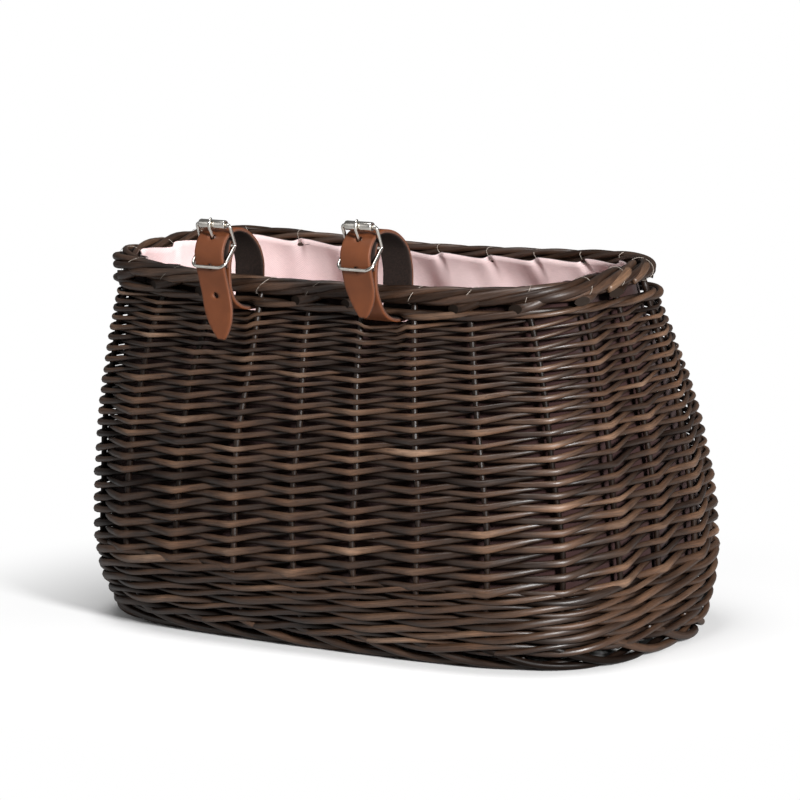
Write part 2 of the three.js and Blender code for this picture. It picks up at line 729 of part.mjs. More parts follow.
// The rivet that holds the flap to the main run, under the tail
function rivetAlongY(tighter, around, headGap) {
  const bars = buckleBars(tighter);
  const outside = -2 * FOLD_RADIUS - half;
  const inside = half / 2 + CLEARANCE;
  const shank = RIVET_SHANK_RADIUS + around;
  const head = headGap < 0 ? shank : RIVET_HEAD_RADIUS;
  const outline = [
    [0, outside - RIVET_HEAD_HEIGHT],
    [head * 0.7, outside - RIVET_HEAD_HEIGHT],
    [head, outside - RIVET_HEAD_HEIGHT * 0.4],
    [head, outside],
    [shank, outside],
    [shank, inside],
    [head, inside],
    [head, inside + RIVET_HEAD_HEIGHT * 0.4],
    [head * 0.7, inside + RIVET_HEAD_HEIGHT],
    [0, inside + RIVET_HEAD_HEIGHT],
  ];
  const profile = outline.map(([r, at]) => new THREE.Vector2(r, at));
  const rivet = new THREE.LatheGeometry(profile, 7);
  return rivet.translate(0, bars.centre.x, bars.centre.y - RIVET_BELOW_BAR);
}

// Share of the strap's length at which the prong's shank crosses the tail
function holeUnderProng(curve, tighter) {
  const { foot, along, front } = prongShank(buckleBars(tighter));
  let best = Infinity;
  let found = 0;
  for (let i = 600; i <= 1000; i++) {
    const p = curve.getPointAt(i / 1000);
    const gap = new THREE.Vector2(p.y, p.z).sub(foot);
    if (gap.dot(along) > 0 && Math.abs(gap.dot(front)) < best) {
      best = Math.abs(gap.dot(front));
      found = i / 1000;
    }
  }
  return found;
}

function tipCutter(curve, side) {
  const end = curve.getPointAt(1);
  const outside = new THREE.Shape();
  outside.moveTo(side * STRAP_WIDTH / 2, TIP_LENGTH);
  outside.quadraticCurveTo(side * STRAP_WIDTH / 2, TIP_LENGTH * 0.45, side * TIP_WIDTH / 2, -1);
  outside.lineTo(side * STRAP_WIDTH, -1);
  outside.lineTo(side * STRAP_WIDTH, TIP_LENGTH);
  const cutter = new THREE.ExtrudeGeometry(outside, {
    depth: 2.4 * STRAP_THICKNESS,
    bevelEnabled: false,
    curveSegments: 4,
  });
  cutter.rotateX(Math.PI / 2);
  return cutter.translate(0, end.y + 1.2 * STRAP_THICKNESS, end.z);
}

// The prong's shank leaves its eye on the centre bar and lies along the front of the roller
function prongShank(bars) {
  const eye = WIRE_RADIUS + CLEARANCE + PRONG_RADIUS;
  const hook = ROLLER_RADIUS + CLEARANCE + PRONG_RADIUS;
  const toTop = bars.top.clone().sub(bars.centre);
  const lean = Math.asin((hook - eye) / toTop.length());
  const along = toTop.normalize().rotateAround(new THREE.Vector2(), lean);
  const front = new THREE.Vector2(-along.y, along.x);
  return { eye, hook, along, front, foot: bars.centre.clone().addScaledVector(front, eye) };
}

function prong(tighter) {
  const bars = buckleBars(tighter);
  const { eye, hook, front } = prongShank(bars);
  const tangent = Math.atan2(front.y, front.x);
  const arc = (middle, radius, turn) => new THREE.Vector3(
    0,
    middle.x + radius * Math.cos(tangent + turn),
    middle.y + radius * Math.sin(tangent + turn),
  );
  const path = [
    ...spread(PRONG_EYE_TURN, 0, 7).map((turn) => arc(bars.centre, eye, turn)),
    ...spread(0, -PRONG_HOOK_TURN, 4).map((turn) => arc(bars.top, hook + CLEARANCE / 2, turn)),
  ];
  return rod(path, (share) => PRONG_RADIUS * (share === 1 ? PRONG_TIP_TAPER : 1), 6);
}

// Frame: a rounded rectangle of wire, bent along its centre bar
function buckleFrame(tighter) {
  const bars = buckleBars(tighter);
  const x = STRAP_WIDTH / 2 + BUCKLE_SIDE_GAP + WIRE_RADIUS;
  const corner = (from, to, sideways) => {
    const towards = to.clone().sub(from).normalize();
    return [0, 0.5, 1].map((part) => {
      const turn = Math.PI / 2 * part;
      const along = BUCKLE_CORNER * (1 - Math.cos(turn));
      const across = BUCKLE_CORNER * (1 - Math.sin(turn));
      return new THREE.Vector3(
        sideways * (x - across),
        from.x + towards.x * along,
        from.y + towards.y * along,
      );
    });
  };
  const up = (sideways) => [
    ...corner(bars.bottom, bars.centre, sideways),
    new THREE.Vector3(sideways * x, bars.centre.x, bars.centre.y),
    ...topCorner(bars, sideways, x),
  ];
  const loop = [...up(1), ...up(-1).reverse()];
  const ring = toSolid(rod(loop, WIRE_RADIUS, 8, true));
  const bar = rod([-x, x].map((at) => new THREE.Vector3(at, bars.centre.x, bars.centre.y)), WIRE_RADIUS, 8);
  return toGeometry(ring.add(toSolid(bar)));
}

// The roller's bar turns square at its ends, so that the roller keeps its length
function topCorner(bars, sideways, x) {
  const down = bars.centre.clone().sub(bars.top).normalize();
  const bend = WIRE_RADIUS * 0.8;
  return [
    new THREE.Vector3(sideways * x, bars.top.x + down.x * bend, bars.top.y + down.y * bend),
    new THREE.Vector3(sideways * (x - bend * 0.4), bars.top.x, bars.top.y),
  ];
}

function roller(tighter) {
  const bars = buckleBars(tighter);
  const bore = WIRE_RADIUS + CLEARANCE;
  const ends = ROLLER_LENGTH / 2;
  const outline = [
    [bore, -ends],
    [ROLLER_RADIUS - ROLLER_CHAMFER, -ends],
    [ROLLER_RADIUS, -ends + ROLLER_CHAMFER],
    [ROLLER_RADIUS, ends - ROLLER_CHAMFER],
    [ROLLER_RADIUS - ROLLER_CHAMFER, ends],
    [bore, ends],
    [bore, -ends],
  ].map(([r, at]) => new THREE.Vector2(r, at));
  const tube = new THREE.LatheGeometry(outline, 12);
  tube.rotateZ(-Math.PI / 2);
  return tube.translate(0, bars.top.x, bars.top.y);
}

for (const [side, tighter, tail] of [['left', 1, LEFT_TAIL], ['right', 0, RIGHT_TAIL]]) {
  const anchor = wallPoint(side === 'left' ? -STRAPS_AT_STAKES : STRAPS_AT_STAKES, MOUTH_Z, 0);
  const pieces = [
    [`${side}_strap`, toGeometry(strapSolid(tighter, tail)), leather],
    [`${side}_buckle_frame`, buckleFrame(tighter), nickel],
    [`${side}_roller`, roller(tighter), nickel],
    [`${side}_prong`, prong(tighter), nickel],
    [`${side}_rivet`, rivetAlongY(tighter, 0, 0), nickel],
  ];
  for (const [name, geometry, material] of pieces) {
    addPiece(name, geometry, material).position.copy(anchor);
  }
}

// The origin is at the middle of the whole part's outline, on the ground
const outlineCentre = new THREE.Box3().setFromObject(basket, true).getCenter(new THREE.Vector3());
basket.position.set(-outlineCentre.x, -outlineCentre.y, 0);

export default basket;
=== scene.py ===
import math

import bpy
import numpy as np
from mathutils import Matrix, Vector
from mathutils.geometry import delaunay_2d_cdt

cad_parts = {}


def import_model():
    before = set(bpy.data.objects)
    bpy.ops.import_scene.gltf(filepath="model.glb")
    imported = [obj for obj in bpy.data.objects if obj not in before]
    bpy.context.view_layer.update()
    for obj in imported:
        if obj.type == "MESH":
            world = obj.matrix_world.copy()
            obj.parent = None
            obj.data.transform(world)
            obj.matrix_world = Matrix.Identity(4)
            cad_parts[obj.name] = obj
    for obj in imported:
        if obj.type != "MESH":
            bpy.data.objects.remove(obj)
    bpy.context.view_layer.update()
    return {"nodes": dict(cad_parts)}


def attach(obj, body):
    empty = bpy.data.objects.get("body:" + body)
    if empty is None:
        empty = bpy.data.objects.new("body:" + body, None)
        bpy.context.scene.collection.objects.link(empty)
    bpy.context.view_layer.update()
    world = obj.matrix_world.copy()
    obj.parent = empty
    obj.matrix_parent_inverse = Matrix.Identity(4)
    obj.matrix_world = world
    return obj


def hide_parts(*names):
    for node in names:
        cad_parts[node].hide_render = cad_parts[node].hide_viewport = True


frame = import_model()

random = np.random.RandomState(11)

# Lengths are in metres. The wall of the basket follows the same formulas as the CAD source.
HEIGHT = 0.250
BELLY_Z = 0.053
MOUTH_Z = 0.241
RISE_START = 0.1205
MOUTH_RISE = 0.0065
SHOULDER_POWER = 1.86
# Each at the foot, at the belly and at the top
HALF_WIDTHS = (0.1985, 0.2019, 0.1796)
NEAR_DEPTHS = (0.1028, 0.1316, 0.0659)
CENTRES = (0.0356, 0.0343, 0.0)
FAR_DEEPER = 0.02735
CORNER_POWER = 3.73
CORNER_POWER_GAIN = 0.72
FRAME_BACK = 0.031366
STAKES = 24
STAKE_RADIUS = 0.0021
STAKE_FOOT = 0.011
WALE_BOTTOM = 0.0105
WALE_TOP = 0.056
WALE_ROUNDS = 5
RANDING_TOP = 0.2265
RANDING_ROWS = 46
BASE_MIDDLE_Z = 0.0153
GRID_PER_STAKE = 20
GRID_LEVELS = 125
GRAIN_SHIFT = 0.37
UP = np.array([0.0, 0.0, 1.0])


def joined(*values):
    """The values side by side on a last axis. Each is an array or one number."""
    return np.stack(np.broadcast_arrays(*values), -1)


def unit(vectors):
    return vectors / np.linalg.norm(vectors, axis=-1, keepdims=True)


def run_length(path):
    """The way along a path up to each of its points."""
    return np.concatenate([[0], np.cumsum(np.linalg.norm(np.diff(path, axis=0), axis=1))])


def drawn(mean, spread, low=0, high=1, count=None):
    """Random values around the mean, kept between low and high."""
    return np.clip(random.normal(mean, spread, count), low, high)


def profile(z, base, belly, top):
    below = np.clip((BELLY_Z - z) / BELLY_Z, 0, None)
    above = np.clip((z - BELLY_Z) / (HEIGHT - BELLY_Z), 0, None)
    return belly + (base - belly) * below**2 + (top - belly) * above**SHOULDER_POWER


def section_point(angle, z):
    half_width = profile(z, *HALF_WIDTHS)
    near = profile(z, *NEAR_DEPTHS)
    far = near + FAR_DEEPER * (z / HEIGHT) ** 3
    power = CORNER_POWER + CORNER_POWER_GAIN * z / HEIGHT
    c, s = np.cos(angle), np.sin(angle)
    x = half_width * np.sign(c) * np.abs(c) ** (2 / power)
    y = np.where(s < 0, near, far) * np.sign(s) * np.abs(s) ** (2 / power)
    return joined(x, profile(z, *CENTRES) + y)


def wall_grid():
    """The wall's middle line at even steps round it, for levels of even height."""
    steps = np.linspace(0, 1, 600)
    eased = steps**3 * (10 - 15 * steps + 6 * steps**2)
    quarters = [math.pi / 2 * (quarter + eased[:-1]) for quarter in range(4)]
    angles = np.concatenate([*quarters, [2 * math.pi]])
    stake = np.linspace(0, STAKES, STAKES * GRID_PER_STAKE + 1)
    rows = []
    for z in np.linspace(0, HEIGHT, GRID_LEVELS + 1):
        points = section_point(angles - math.pi / 2, z)
        length = run_length(points)
        at = length / length[-1] * STAKES
        rows.append(joined(*(np.interp(stake, at, axis) for axis in points.T)))
    return np.array(rows)


GRID = wall_grid()
MOUTH_LENGTH = run_length(GRID[-1])[-1]


def middle(stake, z):
    """Points on the wall's middle line, from the grid."""
    stake, z = np.broadcast_arrays(np.asarray(stake, float), np.asarray(z, float))
    level = np.clip(z / HEIGHT, 0, 1) * GRID_LEVELS
    row = np.minimum(level.astype(int), GRID_LEVELS - 1)
    up = (level - row)[..., None]
    place = np.mod(stake, STAKES) * GRID_PER_STAKE
    column = np.minimum(place.astype(int), STAKES * GRID_PER_STAKE - 1)
    along = (place - column)[..., None]
    low = GRID[row, column] * (1 - along) + GRID[row, column + 1] * along
    high = GRID[row + 1, column] * (1 - along) + GRID[row + 1, column + 1] * along
    return low * (1 - up) + high * up


def wall(stake, z, out):
    """Points on the wall at a stake number and a height, moved outwards."""
    place = middle(stake, z)
    along = unit(middle(stake + 0.15, z) - middle(stake - 0.15, z))
    climb = np.clip((z - RISE_START) / RISE_START, 0, None)
    return joined(
        place[..., 0] + along[..., 1] * out,
        place[..., 1] - along[..., 0] * out - FRAME_BACK,
        z + MOUTH_RISE * (place[..., 0] / HALF_WIDTHS[2]) ** 2 * climb**2,
    )


def outward(stake, z):
    return unit(wall(stake, z, 0.001) - wall(stake, z, 0))


def smooth_path(points, per_span):
    """Catmull-Rom curve through points, centripetal as in the CAD source."""
    points = np.asarray(points, float)
    points = np.vstack([2 * points[0] - points[1], points, 2 * points[-1] - points[-2]])
    found = []
    for i in range(1, len(points) - 2):
        p0, p1, p2, p3 = points[i - 1:i + 3]
        d0, d1, d2 = (max(np.linalg.norm(b - a) ** 0.5, 1e-6) for a, b in ((p0, p1), (p1, p2), (p2, p3)))
        t1 = ((p1 - p0) / d0 - (p2 - p0) / (d0 + d1) + (p2 - p1) / d1) * d1
        t2 = ((p2 - p1) / d1 - (p3 - p1) / (d1 + d2) + (p3 - p2) / d2) * d1
        last = i == len(points) - 3
        t = np.linspace(0, 1, per_span + 1)[:None if last else -1, None]
        found.append(
            (2 * t**3 - 3 * t**2 + 1) * p1 + (t**3 - 2 * t**2 + t) * t1
            + (3 * t**2 - 2 * t**3) * p2 + (t**3 - t**2) * t2
        )
    return np.vstack(found)


def grid_quads(rows, columns, closed):
    """Quads between rows of points that each run round, and from the last to the first if closed."""
    i, j = np.meshgrid(np.arange(rows if closed else rows - 1), np.arange(columns), indexing="ij")
    here, ahead = i * columns, (i + 1) % rows * columns
    next_j = (j + 1) % columns
    return joined(here + j, ahead + j, ahead + next_j, here + next_j).reshape(-1, 4)


class Piece:
    """Collects tubes and sheets into one mesh with the values that its material reads."""

    def __init__(self):
        self.points = []
        self.quads = []
        self.triangles = []
        self.rods = []
        self.grains = []
        self.marks = []
        self.flat_triangles = []
        self.total = 0
        self.tubes = 0

    def add_points(self, points, rod, grain, mark):
        first = self.total
        points = points.reshape(-1, 3)
        self.points.append(points)
        self.rods.append(np.broadcast_to(rod, len(points)))
        self.grains.append(grain.reshape(-1, 3))
        self.marks.append(np.broadcast_to(mark, len(points)))
        self.total += len(points)
        return first

    def add_triangles(self, triangles, flat=False):
        self.triangles.append(triangles)
        self.flat_triangles.append(np.full(len(triangles), flat))

    def tube(self, path, radius, reference, rod=0.5, sides=8, ring=False, high=1.0, cuts=(None, None)):
        """cuts are the directions that the two end faces look in, where they are cut at a slant."""
        path = np.asarray(path, float)
        count = len(path)
        radius = np.broadcast_to(np.asarray(radius, float), count)
        if ring:
            tangent = unit(np.roll(path, -1, 0) - np.roll(path, 1, 0))
        else:
            tangent = unit(np.gradient(path, axis=0))
        side = unit(np.cross(tangent, np.broadcast_to(reference, path.shape)))
        up = np.cross(side, tangent)
        turn = 2 * math.pi * np.arange(sides) / sides
        c, s = np.cos(turn), np.sin(turn)
        spoke = c[:, None] * side[:, None] + s[:, None] * up[:, None] * high
        points = path[:, None] + radius[:, None, None] * spoke
        for end in (0, -1):
            if cuts[end] is not None:
                face = np.asarray(cuts[end], float)
                lean = (points[end] - path[end]) @ face / (tangent[end] @ face)
                points[end] = points[end] - lean[:, None] * tangent[end]
        grain = joined(run_length(path)[:, None], radius[:, None] * c, radius[:, None] * s)
        grain = grain + GRAIN_SHIFT * self.tubes
        self.tubes += 1
        rod = np.repeat(np.broadcast_to(rod, count), sides)
        first = self.add_points(points, rod, grain, 0)
        self.quads.append(first + grid_quads(count, sides, ring))
        if ring:
            return
        around = np.arange(sides)
        for end, begin in ((0, first), (-1, first + (count - 1) * sides)):
            slanted = cuts[end] is not None
            hub = self.add_points(points[end].mean(0), rod[end], grain[end].mean(0), float(slanted))
            fan = joined(hub, begin + around, begin + (around + 1) % sides)
            self.add_triangles(fan if end == 0 else fan[:, [0, 2, 1]], flat=slanted)

    def object(self, name):
        points = np.vstack(self.points)
        quads = np.vstack(self.quads)
        triangles = np.vstack(self.triangles) if self.triangles else np.zeros((0, 3), int)
        flat = np.concatenate([np.zeros(len(quads), bool), *self.flat_triangles])
        mesh = bpy.data.meshes.new(name)
        mesh.vertices.add(len(points))
        mesh.vertices.foreach_set("co", points.astype(np.float32).ravel())
        corners = np.concatenate([quads.ravel(), triangles.ravel()]).astype(np.int32)
        mesh.loops.add(len(corners))
        mesh.loops.foreach_set("vertex_index", corners)
        starts = np.concatenate([
            4 * np.arange(len(quads)),
            4 * len(quads) + 3 * np.arange(len(triangles)),
        ]).astype(np.int32)
        mesh.polygons.add(len(starts))
        mesh.polygons.foreach_set("loop_start", starts)
        mesh.polygons.foreach_set("use_smooth", ~flat)
        mesh.update(calc_edges=True)
        for label, kind, key, values in (
            ("rod", "FLOAT", "value", np.concatenate(self.rods)),
            ("mark", "FLOAT", "value", np.concatenate(self.marks)),
            ("grain", "FLOAT_VECTOR", "vector", np.vstack(self.grains)),
        ):
            attribute = mesh.attributes.new(label, kind, "POINT")
            attribute.data.foreach_set(key, values.astype(np.float32).ravel())
        made = bpy.data.objects.new(name, mesh)
        bpy.context.scene.collection.objects.link(made)
        return made


def finish_piece(made, body, slot, replaced=(), material=None):
    made.data.materials.append(material or MATERIALS[slot])
    if replaced:
        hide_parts(*replaced)
    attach(made, body)


def dress(name, slot):
    """Gives a solid its material, where the solid itself is shown."""
    node = frame["nodes"][name]
    node.data.materials.clear()
    node.data.materials.append(MATERIALS[slot])


# Materials


def colour(value):
    """A colour with its alpha, from three numbers or from one for a grey."""
    return (*np.broadcast_to(np.asarray(value, float), 3).tolist(), 1)


class Tree:
    """The nodes of a material or of the world."""

    def __init__(self, owner, shader="Principled BSDF"):
        owner.use_nodes = True
        self.owner = owner
        self.nodes = owner.node_tree.nodes
        self.links = owner.node_tree.links
        self.shader = self.nodes[shader]

    def add(self, kind, inputs=None, **settings):
        node = self.nodes.new("ShaderNode" + kind)
        for key, value in settings.items():
            setattr(node, key, value)
        for key, value in (inputs or {}).items():
            self.set(node, key, value)
        return node

    def set(self, node, key, value):
        if isinstance(value, bpy.types.NodeSocket):
            self.links.new(value, node.inputs[key])
        else:
            node.inputs[key].default_value = value

    def surface(self, inputs):
        """Sets what the shader takes, and gives the material."""
        for key, value in inputs.items():
            self.set(self.shader, key, value)
        return self.owner

    def attribute(self, name, output):
        return self.add("Attribute", attribute_name=name).outputs[output]

    def place(self):
        return self.add("TexCoord").outputs["Object"]

    def scaled(self, vector, scale):
        return self.add("Mapping", {"Vector": vector, "Scale": scale}).outputs["Vector"]

    def noise(self, vector, scale=1.0, detail=3.0):
        inputs = {"Vector": vector, "Scale": scale, "Detail": detail, "Roughness": 0.55}
        return self.add("TexNoise", inputs).outputs["Fac"]

    def ramp(self, value, stops):
        node = self.add("ValToRGB", {"Fac": value})
        elements = node.color_ramp.elements
        while len(elements) < len(stops):
            elements.new(1.0)
        for element, (place, shade) in zip(elements, stops):
            element.position = place
            element.color = colour(shade)
        return node.outputs["Color"]

    def mix(self, factor, a, b, blend="MIX"):
        node = self.add("Mix", {0: factor}, data_type="RGBA", blend_type=blend)
        for index, value in ((6, a), (7, b)):
            linked = isinstance(value, bpy.types.NodeSocket)
            self.set(node, index, value if linked else colour(value))
        return node.outputs[2]

    def tinted(self, base, value, stops):
        """The base colour times a ramp over the value."""
        return self.mix(1.0, base, self.ramp(value, stops), "MULTIPLY")

    def maths(self, operation, a, b):
        return self.add("Math", {0: a, 1: b}, operation=operation).outputs[0]

    def bump(self, height, strength, distance, normal=None):
        inputs = {"Height": height, "Strength": strength, "Distance": distance}
        if normal is not None:
            inputs["Normal"] = normal
        return self.add("Bump", inputs).outputs["Normal"]

    def seen(self):
        """One for what the camera sees, also through something clear, and nought for other rays."""
        rays = self.add("LightPath").outputs
        return self.maths("MAXIMUM", rays["Is Camera Ray"], rays["Is Transmission Ray"])


def willow(name, stops, cut_face):
    tree = Tree(bpy.data.materials.new(name))
    grain = tree.attribute("grain", "Vector")
    rod = tree.attribute("rod", "Fac")
    streaks = tree.noise(tree.scaled(grain, (90, 1500, 1500)), detail=4)
    patches = tree.noise(tree.scaled(grain, (28, 130, 130)))
    specks = tree.noise(tree.scaled(grain, (420, 900, 900)), detail=2)
    streaked = tree.tinted(tree.ramp(rod, stops), streaks, [(0.25, 0.5), (0.75, 1.5)])
    patched = tree.tinted(streaked, patches, [
        (0.28, (0.55, 0.5, 0.5)),
        (0.5, 1.0),
        (0.75, (1.55, 1.45, 1.35)),
    ])
    speckled = tree.mix(tree.ramp(specks, [(0.66, 0), (0.74, 0.8)]), patched, (0.012, 0.007, 0.005))
    cut = tree.ramp(tree.attribute("mark", "Fac"), [(0.0, 0), (0.02, 1)])
    gloss = tree.ramp(rod, [(0.20, 0.12), (0.45, 0.55)])
    return tree.surface({
        "Base Color": tree.mix(cut, speckled, cut_face),
        "Roughness": tree.ramp(patches, [(0.3, 0.35), (0.7, 0.52)]),
        "Specular IOR Level": tree.mix(cut, gloss, 0.08),
        "Normal": tree.bump(patches, 0.4, 0.0008, tree.bump(streaks, 0.35, 0.0004)),
    })


def cotton():
    """Twill, with painted shade that makes the outer side, which lies against the willow, darker."""
    tree = Tree(bpy.data.materials.new("cotton_twill"))
    grain = tree.attribute("grain", "Vector")
    twill = tree.add("TexWave", {
        "Vector": grain,
        "Scale": 420.0,
        "Distortion": 1.2,
        "Detail": 1.0,
        "Detail Scale": 2.0,
    }, wave_type="BANDS", bands_direction="DIAGONAL").outputs["Fac"]
    slubs = tree.noise(tree.scaled(grain, (260, 1900, 1)))
    soil = tree.noise(tree.place(), scale=22.0, detail=4)
    base = tree.ramp(soil, [(0.3, (0.78, 0.585, 0.58)), (0.7, (0.85, 0.685, 0.675))])
    woven = tree.tinted(base, twill, [(0.0, 0.86), (1.0, 1.06)])
    inner = tree.tinted(woven, slubs, [(0.3, 0.93), (0.7, 1.05)])
    # Painted shade: the cloth's outer side, seen through the gaps of the weave, is darkened to stand for
    # the shade behind the willow
    outer = tree.mix(1.0, inner, (0.035, 0.018, 0.017), "MULTIPLY")
    return tree.surface({
        "Base Color": tree.mix(tree.attribute("mark", "Fac"), inner, outer),
        "Roughness": 0.92,
        "Sheen Weight": 0.10,
        "Sheen Roughness": 0.5,
        "Specular IOR Level": 0.20,
        "Normal": tree.bump(slubs, 0.25, 0.0003, tree.bump(twill, 0.35, 0.0003)),
    })


def leather():
    """The mark is one on the grain side, nought on the flesh side, and changes over at the edge."""
    tree = Tree(bpy.data.materials.new("leather"))
    place = tree.place()
    side = tree.attribute("mark", "Fac")
    cells = tree.add("TexVoronoi", {"Vector": place, "Scale": 1500.0}, feature="DISTANCE_TO_EDGE")
    creases = tree.noise(place, scale=350.0, detail=5)
    clouds = tree.noise(place, scale=60.0)
    fibres = tree.noise(place, scale=1100.0, detail=4)
    grain_side = tree.ramp(clouds, [(0.3, (0.112, 0.032, 0.010)), (0.7, (0.148, 0.043, 0.014))])
    flesh_side = tree.ramp(fibres, [(0.35, (0.009, 0.0045, 0.003)), (0.7, (0.026, 0.013, 0.009))])
    edge = tree.ramp(fibres, [(0.3, (0.060, 0.023, 0.012)), (0.75, (0.150, 0.060, 0.036))])
    lower = tree.mix(tree.ramp(side, [(0.04, 0), (0.10, 1)]), flesh_side, edge)
    dents = tree.bump(cells.outputs["Distance"], 0.25, 0.0002)
    return tree.surface({
        "Base Color": tree.mix(tree.ramp(side, [(0.90, 0), (0.97, 1)]), lower, grain_side),
        "Roughness": tree.ramp(side, [(0.9, 0.85), (0.97, 0.52)]),
        "Specular IOR Level": 0.35,
        "Normal": tree.bump(creases, 0.18, 0.0003, dents),
    })


def nickel():
    tree = Tree(bpy.data.materials.new("nickel"))
    place = tree.place()
    marks = tree.noise(tree.scaled(place, (40, 600, 600)), scale=4.0)
    haze = tree.noise(place, scale=180.0)
    return tree.surface({
        "Base Color": tree.ramp(haze, [(0.3, (0.66, 0.62, 0.56)), (0.7, (0.80, 0.77, 0.72))]),
        "Metallic": 1.0,
        "Roughness": tree.ramp(marks, [(0.3, 0.16), (0.7, 0.30)]),
        "Normal": tree.bump(marks, 0.08, 0.0002),
    })


def thread():
    tree = Tree(bpy.data.materials.new("thread"))
    ply = tree.noise(tree.scaled(tree.attribute("grain", "Vector"), (1500, 700, 700)), detail=2)
    return tree.surface({
        "Base Color": tree.ramp(ply, [(0.3, (0.24, 0.20, 0.17)), (0.7, (0.50, 0.44, 0.38))]),
        "Roughness": 0.9,
        "Normal": tree.bump(ply, 0.5, 0.0002),
    })


BROWN_RODS = [
    (0.0, (0.004, 0.0025, 0.0018)),
    (0.25, (0.009, 0.0047, 0.0030)),
    (0.50, (0.025, 0.0120, 0.0062)),
    (0.75, (0.062, 0.031, 0.0165)),
    (0.90, (0.110, 0.062, 0.037)),
    (1.0, (0.180, 0.112, 0.074)),
]
BORDER_BROWNS = [
    (0.0, (0.009, 0.0050, 0.0032)),
    (0.35, (0.024, 0.0116, 0.0064)),
    (0.6, (0.044, 0.0215, 0.0118)),
    (0.85, (0.078, 0.0425, 0.0250)),
    (1.0, (0.175, 0.098, 0.055)),
]
MATERIALS = {
    "willow": willow("willow", BROWN_RODS, (0.10, 0.06, 0.035)),
    "willow_border": willow("willow_border", BORDER_BROWNS, (0.016, 0.0105, 0.0075)),
    "lining": cotton(),
    "leather": leather(),
    "nickel": nickel(),
}
thread_material = thread()

# Side weave, French randing: one rod starts at each stake, and every rod passes in front of one
# stake and behind the next while it climbs by a row

STAKE_SHARES = [0, 0.05, 0.12, 0.22, 0.34, 0.46, 0.58, 0.70, 0.81, 0.90, 0.96]
LOWER_ROWS = 19
UPPER_ROWS = 41
TOP_ROWS = 45
LOWEST_PITCH = 0.0047
HIGHEST_PITCH = 0.0026
ROOM_BELOW = 0.002
ROOM_ABOVE = 0.001
RANDING_KINK = 0.42
RANDING_VARIES = 0.09
# Painted shade and light: rods are painted darker where they pass behind a stake and lighter where they
# pass in front of one
PAINTED_DEPTH_SHADE = 0.25
SLOW_DRIFT = 0.0011
QUICK_DRIFT = 0.0006

# Room for the straps, which swing on the border: what happens to the rows beside them
STRAP_X = 0.05965
STRAP_REACH = 0.016
STRAP_ROOM = 0.0043
PRESSED_HEIGHT = 0.022
FLATTER = 0.45
THINNER = 0.22
PUSHED_IN = 0.0020
PUSHED_UP = 0.0007


def row_heights():
    pitch = np.linspace(LOWEST_PITCH, HIGHEST_PITCH, RANDING_ROWS - 1)
    heights = np.concatenate([[0], np.cumsum(pitch)])
    scale = (RANDING_TOP - WALE_TOP - ROOM_BELOW - ROOM_ABOVE) / heights[-1]
    return WALE_TOP + ROOM_BELOW + heights * scale, np.append(pitch, pitch[-1]) * scale


ROW_HEIGHTS, ROW_PITCHES = row_heights()


def strap_gap(stake, z):
    """The distance on the near side to the middle of the nearest strap."""
    place = middle(stake, z)
    return np.where(place[..., 1] < 0, np.abs(np.abs(place[..., 0]) - STRAP_X), 1.0)


def beside_strap(stake, z):
    """One under a strap, and nought away from it."""
    return np.exp(-(strap_gap(stake, z) / STRAP_REACH) ** 8)


def pressed_down(stake, z):
    """The top rows sag a little under a strap, so that it can swing."""
    fade = np.exp(-np.clip(RANDING_TOP - z, 0, None) / PRESSED_HEIGHT)
    return -STRAP_ROOM * beside_strap(stake, z) * fade


def drift(stake, z):
    """How far the rows lie above or below level."""
    slow = SLOW_DRIFT * np.sin(stake * math.pi / 12 + z * 31) * np.sin(z * 55)
    return slow + QUICK_DRIFT * np.sin(stake * 1.31 + z * 90)


def randing_rods():
    """For each rod its shade, and for each of its strokes the change of shade, thickness and height."""
    strokes = RANDING_ROWS // 2 + 2
    return [
        (
            drawn(0.48, RANDING_VARIES),
            random.normal(0, RANDING_VARIES, strokes),
            drawn(1.0, 0.10, 0.76, 1.16, strokes),
            random.normal(0, RANDING_VARIES, strokes),
        )
        for _ in range(STAKES)
    ]


RANDING_RODS = randing_rods()


def randing(name, first_row, last_row, replaced=()):
    piece = Piece()
    row = np.append(np.add.outer(np.arange(first_row, last_row), STAKE_SHARES).ravel(), last_row)
    stroke = np.clip(np.floor((row + 1) / 2).astype(int), 0, None)
    pitch = np.interp(row, np.arange(RANDING_ROWS), ROW_PITCHES)
    height = np.interp(row, np.arange(RANDING_ROWS), ROW_HEIGHTS) + np.minimum(row, 0) * pitch
    turn = math.pi * row
    front = np.clip(1 - 2 * np.abs(row - 2 * np.round(row / 2)), 0, 1)
    swing = (np.cos(turn) + 0.10 * np.cos(3 * turn) + 0.05 * np.cos(5 * turn)) / 1.15
    out = (STAKE_RADIUS + 0.48 * pitch) * swing
    for start, (shade, tints, thick, wander) in enumerate(RANDING_RODS):
        stake = start + row
        radius = 0.50 * pitch * thick[stroke] * (0.80 + 0.20 * swing)
        z = height + drift(stake, height) + (wander[stroke] - RANDING_KINK) * pitch * front
        z = z + pressed_down(stake, z)
        # The rod's own tone, plus painted shade where it passes behind a stake and painted light where it
        # passes in front
        tone_and_painted_shade = np.clip(shade + tints[stroke] + PAINTED_DEPTH_SHADE * swing, 0, 1)
        piece.tube(wall(stake, z, out), radius, UP, tone_and_painted_shade, high=1.18)
    finish_piece(piece.object(name), "basket", "willow", replaced)


# Waling: three rods in turn, in front of two stakes and behind one

WALE_PER_STAKE = 8
WALE_PITCH = (WALE_TOP - WALE_BOTTOM) / WALE_ROUNDS
WALE_RADIUS = 0.0023
WALE_RISE = 0.0038
TOP_WALE_Z = 0.2292
TOP_WALE_RADIUS = 0.0021
TOP_WALE_RISE = 0.0016


